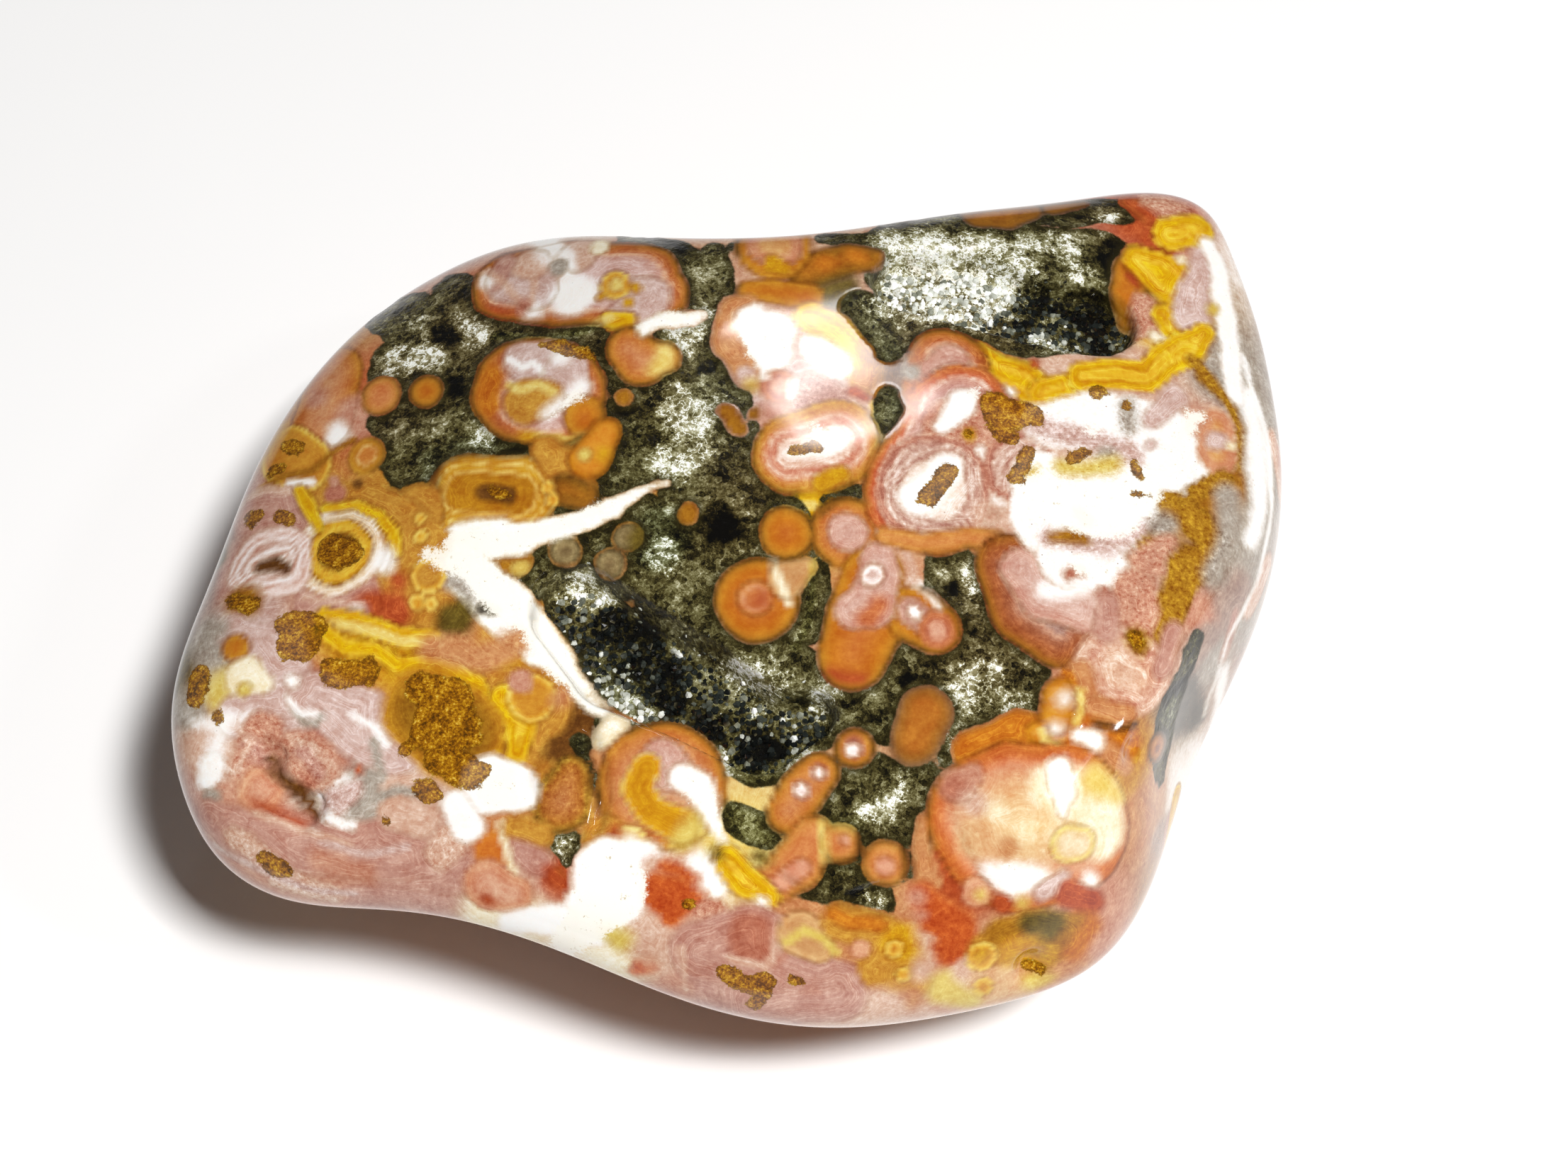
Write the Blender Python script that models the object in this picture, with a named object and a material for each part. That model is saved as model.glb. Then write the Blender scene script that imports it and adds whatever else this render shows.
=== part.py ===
"""A tumbled, polished piece of ocean jasper, 63 mm long, resting on a small flat spot.

The stone is one solid. It is worked out as a rough block is: broken faces, each given by the way
it looks and its distance from the stone's middle, whose edges the tumbling has rounded off. Shallow
scoops, two hollows, a few pits and a few swells are then pressed into that form. A crust of small
quartz crystals lines each hollow, and is an object of its own.

Lengths in the tables below are millimetres, measured from the stone's middle.
"""

import math

import bmesh
import bpy
import numpy as np
from mathutils import Vector
from mathutils.bvhtree import BVHTree

MM = 0.001

# Driving dimensions
SIZE = 1.0  # 1.0 makes the stone 63 mm long, and every length below follows it
BASE_DEPTH = 11.9  # the flat spot's distance below the stone's middle
EDGE_HARDNESS = 20.0  # a higher number leaves sharper edges between the broken faces
GIRDLE_TILT = 30.0  # degrees by which the widest section rises towards the back

# Mesh
MESH_LEVEL = 5  # subdivisions of the icosphere that the stone starts from
REFINE_PASSES = 2  # times that the mesh is split again in and beside the hollows and pits
HOLLOW_MARGIN = 1.15  # half widths of a hollow that its finer mesh reaches
PIT_MARGIN = 1.1  # radii of a pit or swell that its finer mesh reaches
WIDEST_PIT = 2.0  # the radius that counts for the mesh of a wider swell
SNAP = 0.25  # the cut moves a point this near the flat spot onto it
SLIVER = 0.02  # an edge shorter than this is closed up after the cut
SMOOTH_ANGLE = 35.0  # degrees beyond which an edge is shaded sharp

# Crystal crusts
CRYSTAL_PITCH = 1.15
CRUST_GAP = 0.35  # between the crust and the floor of its hollow
CRUST_THICKNESS = 0.35
CRUST_UNEVENNESS = (0.8, 1.2)  # least and greatest share of that thickness
CRYSTAL_HEIGHTS = (0.2, 0.65)  # above the crust
HEXAGON = ((1, 1), (0, 2), (-1, 1), (-1, -1), (0, -2), (1, -1))  # a cell's corners on its lattice
CRYSTAL_LEAN = 0.2  # largest offset of a crystal's tip, as a share of the pitch

# Faces round the girdle, as (clock angle in its plane, distance)
GIRDLE_FACES = (
    (158, 28.2),
    (134, 29.2),
    (117, 26.8),
    (93, 23.4),
    (46, 45.5),
    (14, 35.2),
    (-25, 28.7),
    (-57, 29.8),
    (-81, 23.6),
    (-104, 20.6),
    (-124, 28.9),
    (-152, 31.6),
    (-174, 31.9),
)

# Faces above and below it, as (azimuth, elevation, distance)
TOP_FACES = ((0, 90, 12.8), (250, 78, 13.2), (30, 76, 16.4), (150, 70, 15.6))
SHOULDER_FACES = ((200, 30, 32.5), (255, 38, 23.5), (290, 36, 24.5), (325, 35, 28.5))
FLANK_FACES = (
    (-24, 12, 28.4),
    (8, 10, 34.8),
    (60, -25, 37.0),
    (100, -30, 26.5),
    (140, -30, 28.5),
    (170, -30, 30.0),
)
UNDER_FACES = (
    (0, -90, 12.4),
    (270, -72, 13.8),
    (340, -72, 14.4),
    (55, -72, 14.0),
    (125, -72, 14.2),
    (200, -70, 14.6),
    (300, -47, 21.0),
    (15, -46, 21.0),
    (75, -50, 19.4),
    (150, -47, 20.4),
    (228, -50, 19.6),
)

# Wide scoops in the outline, as (centre, clock angle of the girdle that it faces, depth, width).
# One with a negative depth is a bulge.
SCOOPS = (
    ((3.0, 23.5, 4.0), 93, 2.6, 11.0),
    ((-12.5, -21.5, -3.0), -104, 2.6, 8.0),
    ((24.5, -10.5, 3.5), -25, 1.0, 5.5),
    ((24.5, 24.0, 9.5), 50, -1.1, 5.0),
    ((-22.5, -17.5, 3.0), -140, -0.8, 5.0),
)

# Hollows in the top, as a line of (x, y, half width) along the middle of each, and their depth
HOLLOWS = {
    "centre": (
        ((-8.0, -6.2, 2.7), (-5.4, -8.8, 3.3), (-1.6, -10.9, 2.9), (1.8, -13.2, 2.4), (4.4, -12.4, 1.5)),
        1.9,
    ),
    "corner": (
        ((10.2, 15.0, 2.4), (13.6, 14.6, 3.0), (17.0, 13.4, 2.7), (20.4, 13.0, 2.9)),
        1.7,
    ),
}
HOLLOW_WALL = 0.74  # share of the half width where the floor ends and the wall rises

# Pits and swells, as (centre, radius, height out of the surface)
PITS_AND_SWELLS = {
    "left crevice": ((-24.2, -13.8, 8.6), 1.3, -0.9),
    "left crevice end": ((-22.2, -16.4, 8.0), 1.5, -1.1),
    "corner pit": ((16.1, -23.1, 3.2), 1.5, -1.2),
    "ridge chip": ((21.7, -14.1, 10.0), 1.5, -0.5),
    "pear-shaped orb": ((-8.0, -15.9, 9.7), 2.0, 0.3),
    "egg-shaped orb": ((17.5, -12.4, 11.7), 1.6, 0.75),
    "big orb": ((15.7, -17.7, 10.0), 5.5, 0.55),
}
PIT_SPREAD = 0.6  # share of its radius over which a pit or swell fades out

# Low waves that polishing leaves, as (direction, wavelength, height)
WAVES = (
    ((0.8, 0.5, 0.2), 19.0, 0.16),
    ((-0.4, 0.9, 0.3), 14.0, 0.12),
    ((0.3, -0.6, 0.8), 11.0, 0.08),
)

FACE_SETS = (TOP_FACES, SHOULDER_FACES, FLANK_FACES, UNDER_FACES)


def direction(azimuth, elevation):
    """Unit vector that looks along an azimuth and an elevation, in degrees."""
    turn, rise = math.radians(azimuth), math.radians(elevation)
    return np.array([math.cos(turn) * math.cos(rise), math.sin(turn) * math.cos(rise), math.sin(rise)])


def girdle_direction(clock):
    """Unit vector in the slanted plane of the girdle, at a clock angle from +X."""
    turn, tilt = math.radians(clock), math.radians(GIRDLE_TILT)
    return np.array([math.cos(turn), math.sin(turn) * math.cos(tilt), math.sin(turn) * math.sin(tilt)])


def broken_block(rays):
    """Where each ray from the middle leaves the block: a power sum over the faces rounds its edges."""
    looks = [girdle_direction(clock) for clock, _ in GIRDLE_FACES]
    reaches = [reach for _, reach in GIRDLE_FACES]
    for azimuth, elevation, reach in sum(FACE_SETS, ()):
        looks.append(direction(azimuth, elevation))
        reaches.append(reach)
    shares = np.maximum(rays @ np.array(looks).T, 0.0) / np.array(reaches)
    gauge = (shares**EDGE_HARDNESS).sum(axis=1) ** (1.0 / EDGE_HARDNESS)
    return rays / gauge[:, None]


def smooth_step(low, high, value):
    share = np.clip((value - low) / (high - low), 0.0, 1.0)
    return share * share * (3.0 - 2.0 * share)


def share_of_hollow(line, x, y):
    """Distance to the nearest stretch of a hollow's middle line over the half width there: 1 at the rim."""
    nearest = np.full(np.shape(x), np.inf)
    for (x0, y0, r0), (x1, y1, r1) in zip(line, line[1:]):
        run_x, run_y = x1 - x0, y1 - y0
        along = np.clip(((x - x0) * run_x + (y - y0) * run_y) / (run_x**2 + run_y**2), 0.0, 1.0)
        across = np.hypot(x - x0 - along * run_x, y - y0 - along * run_y)
        nearest = np.minimum(nearest, across / (r0 + along * (r1 - r0)))
    return nearest


def stone_form(rays):
    """Points of the finished surface along rays from the middle, in millimetres."""
    points = broken_block(rays)
    for centre, clock, depth, width in SCOOPS:
        near = np.exp(-((points - centre) ** 2).sum(axis=1) / width**2)
        points = points - np.outer(depth * near, girdle_direction(clock))
    for run, wavelength, height in WAVES:
        run = np.array(run) / np.linalg.norm(run)
        points = points + rays * (height * np.sin(points @ run * (2.0 * math.pi / wavelength)))[:, None]
    for centre, radius, height in PITS_AND_SWELLS.values():
        near = np.exp(-((points - centre) ** 2).sum(axis=1) / (PIT_SPREAD * radius) ** 2)
        points = points + rays * (height * near)[:, None]
    for line, depth in HOLLOWS.values():
        share = share_of_hollow(line, points[:, 0], points[:, 1])
        pressed = depth * (1.0 - smooth_step(HOLLOW_WALL, 1.0, share)) * (points[:, 2] > 0.0)
        points[:, 2] -= pressed
    return points * SIZE


def needs_finer_mesh(points):
    """True where a point lies in or beside a hollow or a pit."""
    x, y, z = points.T
    fine = np.zeros(len(points), bool)
    for line, _ in HOLLOWS.values():
        fine |= (share_of_hollow(line, x, y) < HOLLOW_MARGIN) & (z > 0.0)
    for centre, radius, _ in PITS_AND_SWELLS.values():
        fine |= ((points - centre) ** 2).sum(axis=1) < (PIT_MARGIN * min(radius, WIDEST_PIT)) ** 2
    return fine


def rays_of(mesh):
    rays = np.array([vertex.co for vertex in mesh.verts])
    return rays / np.linalg.norm(rays, axis=1)[:, None]


def refine(mesh):
    """Splits every triangle that has a corner where the form asks for a finer mesh."""
    fine = needs_finer_mesh(stone_form(rays_of(mesh)) / SIZE)
    mesh.verts.index_update()
    faces = [face for face in mesh.faces if any(fine[vertex.index] for vertex in face.verts)]
    edges = list({edge for face in faces for edge in face.edges})
    bmesh.ops.subdivide_edges(mesh, edges=edges, cuts=1, use_grid_fill=True)
    bmesh.ops.triangulate(mesh, faces=mesh.faces[:])


def cut_flat_spot(mesh):
    """Cuts the underside off level at z = 0 and closes the cut with one flat face."""
    geometry = mesh.verts[:] + mesh.edges[:] + mesh.faces[:]
    bmesh.ops.bisect_plane(
        mesh,
        geom=geometry,
        dist=SNAP * MM,
        plane_co=(0.0, 0.0, 0.0),
        plane_no=(0.0, 0.0, -1.0),
        clear_outer=True,
    )
    rim = [edge for edge in mesh.edges if edge.is_boundary]
    bmesh.ops.holes_fill(mesh, edges=rim, sides=0)
    for vertex in mesh.verts:
        if vertex.co.z < SNAP * MM:
            vertex.co.z = 0.0
    bmesh.ops.dissolve_degenerate(mesh, edges=mesh.edges[:], dist=SLIVER * MM)
    bmesh.ops.recalc_face_normals(mesh, faces=mesh.faces[:])


def build_stone_mesh():
    """The stone as a closed mesh in metres, and the shift that stands it on z = 0 over the origin."""
    mesh = bmesh.new()
    bmesh.ops.create_icosphere(mesh, subdivisions=MESH_LEVEL, radius=1.0)
    for _ in range(REFINE_PASSES):
        refine(mesh)
    points = stone_form(rays_of(mesh))
    low, high = points.min(axis=0), points.max(axis=0)
    shift = np.array([-(low[0] + high[0]) / 2.0, -(low[1] + high[1]) / 2.0, BASE_DEPTH * SIZE])
    for vertex, place in zip(mesh.verts, (points + shift) * MM):
        vertex.co = place
    cut_flat_spot(mesh)
    return mesh, shift


def lattice_place(line, i, j):
    """Where a point of the honeycomb's lattice lies, in the stone's own millimetres."""
    xs, ys, rs = zip(*line)
    x = min(xs) - max(rs) + i * CRYSTAL_PITCH / 2.0
    y = min(ys) - max(rs) + j * CRYSTAL_PITCH / (2.0 * math.sqrt(3.0))
    return x, y


def crystal_cells(line):
    """Lattice points in the middle of each honeycomb cell whose corners all lie on the floor of a hollow."""
    xs, ys, rs = zip(*line)
    columns = int((max(xs) - min(xs) + 2.0 * max(rs)) / CRYSTAL_PITCH) + 1
    rows = int((max(ys) - min(ys) + 2.0 * max(rs)) / (CRYSTAL_PITCH * math.sqrt(3.0) / 2.0)) + 1
    row, column = np.mgrid[0:rows, 0:columns]
    i, j = 2 * column + row % 2, 3 * row
    places = [lattice_place(line, i + side_i, j + side_j) for side_i, side_j in HEXAGON]
    inside = np.all([share_of_hollow(line, x, y) < HOLLOW_WALL for x, y in places], axis=0)
    return list(zip(i[inside].tolist(), j[inside].tolist()))


def build_crust_mesh(line, shift, stone_tree, seed):
    """A crust of six-sided crystals, one on each cell of a honeycomb, over the floor of its hollow."""
    chance = np.random.default_rng(seed)
    mesh = bmesh.new()
    corners = {}
    open_sides = {}

    def underside(i, j):
        """The point of the crust's lower side over a lattice point, in metres."""
        spot = (np.array(lattice_place(line, i, j)) * SIZE + shift[:2]) * MM
        hit = stone_tree.ray_cast(Vector((*spot, 1.0)), Vector((0.0, 0.0, -1.0)))[0]
        return np.array([*spot, hit.z + CRUST_GAP * MM])

    def corner(i, j):
        """The pair of points, above and below, where neighbouring cells meet at a corner."""
        if (i, j) not in corners:
            low = underside(i, j)
            rise = CRUST_THICKNESS * chance.uniform(*CRUST_UNEVENNESS) * MM
            corners[i, j] = (mesh.verts.new(low + (0.0, 0.0, rise)), mesh.verts.new(low))
        return corners[i, j]

    for i, j in crystal_cells(line):
        ring = [corner(i + side_i, j + side_j) for side_i, side_j in HEXAGON]
        low = underside(i, j)
        lean = chance.uniform(-CRYSTAL_LEAN, CRYSTAL_LEAN, 2) * CRYSTAL_PITCH * SIZE * MM
        height = (CRUST_THICKNESS + chance.uniform(*CRYSTAL_HEIGHTS)) * MM
        tip = mesh.verts.new(low + (*lean, height))
        root = mesh.verts.new(low)
        for here, there in zip(ring, ring[1:] + ring[:1]):
            mesh.faces.new((here[0], there[0], tip))
            mesh.faces.new((there[1], here[1], root))
            key = frozenset((here[0], there[0]))
            open_sides[key] = None if key in open_sides else (here, there)
    for here, there in filter(None, open_sides.values()):
        mesh.faces.new((there[0], here[0], here[1], there[1]))
    bmesh.ops.triangulate(mesh, faces=mesh.faces[:])
    bmesh.ops.recalc_face_normals(mesh, faces=mesh.faces[:])
    return mesh


def material(name, colour, roughness):
    made = bpy.data.materials.new(name)
    made.use_nodes = True
    shader = made.node_tree.nodes["Principled BSDF"]
    shader.inputs["Base Color"].default_value = (*colour, 1.0)
    shader.inputs["Roughness"].default_value = roughness
    shader.inputs["Metallic"].default_value = 0.0
    return made


def add_object(name, mesh, finish, smooth):
    data = bpy.data.meshes.new(name)
    mesh.to_mesh(data)
    mesh.free()
    if smooth:
        data.shade_smooth()
        data.set_sharp_from_angle(angle=math.radians(SMOOTH_ANGLE))
    data.materials.append(finish)
    made = bpy.data.objects.new(name, data)
    bpy.context.scene.collection.objects.link(made)
    return made


def main():
    for old in list(bpy.data.objects):
        bpy.data.objects.remove(old)

    jasper = material("polished_jasper", (0.62, 0.36, 0.22), 0.12)
    quartz = material("smoky_quartz", (0.10, 0.11, 0.09), 0.25)

    stone_mesh, shift = build_stone_mesh()
    stone_tree = BVHTree.FromBMesh(stone_mesh)
    for seed, (place, (line, _)) in enumerate(HOLLOWS.items(), start=1):
        crust = build_crust_mesh(line, shift, stone_tree, seed)
        add_object("druse_" + place, crust, quartz, smooth=False)
    add_object("stone", stone_mesh, jasper, smooth=True)


main()
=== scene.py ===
"""The looks of a tumbled, polished piece of ocean jasper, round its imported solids.

The skin is one closed surface, worked out from the same broken faces, scoops, hollows, pits and
swells as the solid stone, with the finer relief that the solid leaves out. The pattern is held by
the skin's points: bodies such as orbs, bands and agate are painted over each other by how deep a
point lies within each, and the material adds the fine lines, the grain, the dark crystal matrix,
the moss and the polish. Two crusts of quartz crystals line the hollows.

Lengths in the tables are millimetres from the stone's middle, and colours are 0 to 255.
"""

import math
from functools import lru_cache
from itertools import product

import bpy
import numpy as np
from bpy.props import FloatProperty, FloatVectorProperty, IntProperty, PointerProperty
from bpy.types import Operator, Panel, PropertyGroup
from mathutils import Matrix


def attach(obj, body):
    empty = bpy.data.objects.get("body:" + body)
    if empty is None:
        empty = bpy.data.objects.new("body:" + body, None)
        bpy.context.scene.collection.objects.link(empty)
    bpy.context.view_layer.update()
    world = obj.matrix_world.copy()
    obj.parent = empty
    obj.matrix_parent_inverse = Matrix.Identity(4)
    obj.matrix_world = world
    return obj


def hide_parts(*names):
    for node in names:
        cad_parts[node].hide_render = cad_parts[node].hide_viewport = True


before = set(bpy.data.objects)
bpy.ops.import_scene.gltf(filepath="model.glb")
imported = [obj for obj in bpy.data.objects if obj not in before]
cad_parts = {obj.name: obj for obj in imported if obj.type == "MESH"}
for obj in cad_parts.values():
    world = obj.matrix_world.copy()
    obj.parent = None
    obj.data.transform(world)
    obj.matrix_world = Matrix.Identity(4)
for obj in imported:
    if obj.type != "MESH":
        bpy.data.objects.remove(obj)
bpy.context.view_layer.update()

bl_info = {
    "name": "Polished ocean jasper",
    "version": (1, 0, 0),
    "blender": (4, 5, 0),
    "location": "View3D > Sidebar > Jasper",
    "description": "Builds the skin, the crystal crusts and the studio of a polished ocean jasper",
    "category": "Object",
}

MM = 0.001

# The studio, in metres. The lamps are (name, place, size, share of the key light's power, whether the
# polish mirrors it).
FLOOR_SIZE = 3.2
LAMP_AIM = (0.0, 0.0, 0.01)
LAMPS = (
    ("key", (0.13, -0.14, 0.46), (0.07, 0.07), 1.0, False),
    ("window", (0.03, 0.29, 0.36), (0.03, 0.015), 0.008, True),
    ("small_window", (0.30, -0.12, 0.40), (0.02, 0.05), 0.04, True),
)
CAMERA_AIM = (0.00256, 0.00162, 0.0119)
SENSOR_WIDTH = 36.0

# The stone's form, as the solid has it: how far below the middle it stands, the power that rounds
# its edges, and its girdle's tilt in degrees
BASE_DEPTH = 11.9
EDGE_HARDNESS = 20.0
GIRDLE_TILT = 30.0

# Flat faces of the block, round the girdle as (clock angle, reach) and others as (azimuth, elevation,
# reach)
GIRDLE_FACES = (
    (158, 28.2), (134, 29.2), (117, 26.8), (93, 23.4), (46, 45.5), (14, 35.2), (-25, 28.7),
    (-57, 29.8), (-81, 23.6), (-104, 20.6), (-124, 28.9), (-152, 31.6), (-174, 31.9),
)
FACES = (
    (0, 90, 12.8), (250, 78, 13.2), (30, 76, 16.4), (150, 70, 15.6),
    (200, 30, 32.5), (255, 38, 23.5), (290, 36, 24.5), (325, 35, 28.5),
    (-24, 12, 28.4), (8, 10, 34.8), (60, -25, 37.0), (100, -30, 26.5), (140, -30, 28.5),
    (170, -30, 30.0), (0, -90, 12.4), (270, -72, 13.8), (340, -72, 14.4), (55, -72, 14.0),
    (125, -72, 14.2), (200, -70, 14.6), (300, -47, 21.0), (15, -46, 21.0), (75, -50, 19.4),
    (150, -47, 20.4), (228, -50, 19.6),
)

# Shallow scoops out of the sides, as (centre, clock angle, depth, width): one of negative depth bulges
SCOOPS = (
    ((3.0, 23.5, 4.0), 93, 2.6, 11.0),
    ((-12.5, -21.5, -3.0), -104, 2.6, 8.0),
    ((24.5, -10.5, 3.5), -25, 1.0, 5.5),
    ((24.5, 24.0, 9.5), 50, -1.1, 5.0),
    ((-22.5, -17.5, 3.0), -140, -0.8, 5.0),
)

# The two hollows, as a middle line of (x, y, half width) and a depth. Their walls start at HOLLOW_WALL
# of the half width.
HOLLOWS = {
    "centre": (
        ((-8.0, -6.2, 2.7), (-5.4, -8.8, 3.3), (-1.6, -10.9, 2.9), (1.8, -13.2, 2.4), (4.4, -12.4, 1.5)),
        1.9,
    ),
    "corner": (
        ((10.2, 15.0, 2.4), (13.6, 14.6, 3.0), (17.0, 13.4, 2.7), (20.4, 13.0, 2.9)),
        1.7,
    ),
}
HOLLOW_WALL = 0.74

# Small pits and swells, as (centre, radius, height)
PITS_AND_SWELLS = (
    ((-24.2, -13.8, 8.6), 1.3, -0.9),
    ((-22.2, -16.4, 8.0), 1.5, -1.1),
    ((16.1, -23.1, 3.2), 1.5, -1.2),
    ((21.7, -14.1, 10.0), 1.5, -0.5),
    ((-8.0, -15.9, 9.7), 2.0, 0.3),
    ((17.5, -12.4, 11.7), 1.6, 0.75),
    ((15.7, -17.7, 10.0), 5.5, 0.55),
)
PIT_SPREAD = 0.6

# Slow waves all over, as (direction, length, height)
WAVES = (
    ((0.8, 0.5, 0.2), 19.0, 0.16),
    ((-0.4, 0.9, 0.3), 14.0, 0.12),
    ((0.3, -0.6, 0.8), 11.0, 0.08),
)

# Finer marks than the solid holds: grooves and lips along lines, as (line, half width, height)
GROOVES = (
    (((3.1, -21.0, 8.9), (5.0, -21.9, 8.3), (6.6, -21.7, 8.5), (8.0, -21.2, 8.9)), 0.32, -0.42),
    (((3.2, -20.5, 9.2), (5.0, -21.2, 8.8), (6.8, -21.0, 8.9)), 0.5, 0.16),
    (((-7.2, -13.0, 10.3), (-6.6, -14.6, 10.1), (-6.3, -16.6, 9.8), (-6.7, -18.2, 9.5)), 0.3, -0.5),
    (((-9.6, -13.4, 10.3), (-10.4, -15.4, 9.9), (-9.8, -17.4, 9.5)), 0.25, -0.2),
    (((-24.6, -13.0, 8.8), (-23.6, -15.2, 8.4), (-22.0, -16.9, 7.9)), 0.45, -0.45),
    (((11.3, -17.4, 10.6), (12.2, -19.6, 9.9), (13.6, -21.2, 8.2)), 0.3, -0.2),
    (
        ((27.6, 12.6, 9.3), (26.6, 3.8, 10.9), (23.2, -3.8, 12.0), (21.4, -7.6, 12.2), (20.8, -14.6, 10.6)),
        0.45,
        0.12,
    ),
)

# The pattern's bodies were read in the slanting view, as (across, up, radius): a length along that
# line of sight counts for less, so a ball here is an egg that runs into the stone.
SIGHT_TILT = 60.0
SIGHT_SHARE = 0.35

PALETTE = {
    "blush": (222, 186, 172),
    "pink": (208, 154, 136),
    "rose": (186, 118, 100),
    "lilac": (214, 186, 184),
    "mauve": (200, 154, 146),
    "grey_pink": (168, 140, 132),
    "salmon": (196, 110, 70),
    "coral": (182, 82, 44),
    "orange": (200, 118, 34),
    "honey": (202, 146, 60),
    "peach": (206, 146, 102),
    "tan": (228, 184, 142),
    "gold": (210, 156, 28),
    "mustard": (228, 182, 16),
    "straw": (226, 202, 110),
    "butter": (240, 216, 130),
    "ochre": (166, 112, 30),
    "olive": (104, 88, 34),
    "umber": (106, 66, 26),
    "cream": (248, 236, 208),
    "white": (252, 248, 244),
    "ash": (176, 168, 164),
    "slate": (88, 84, 78),
}

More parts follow.
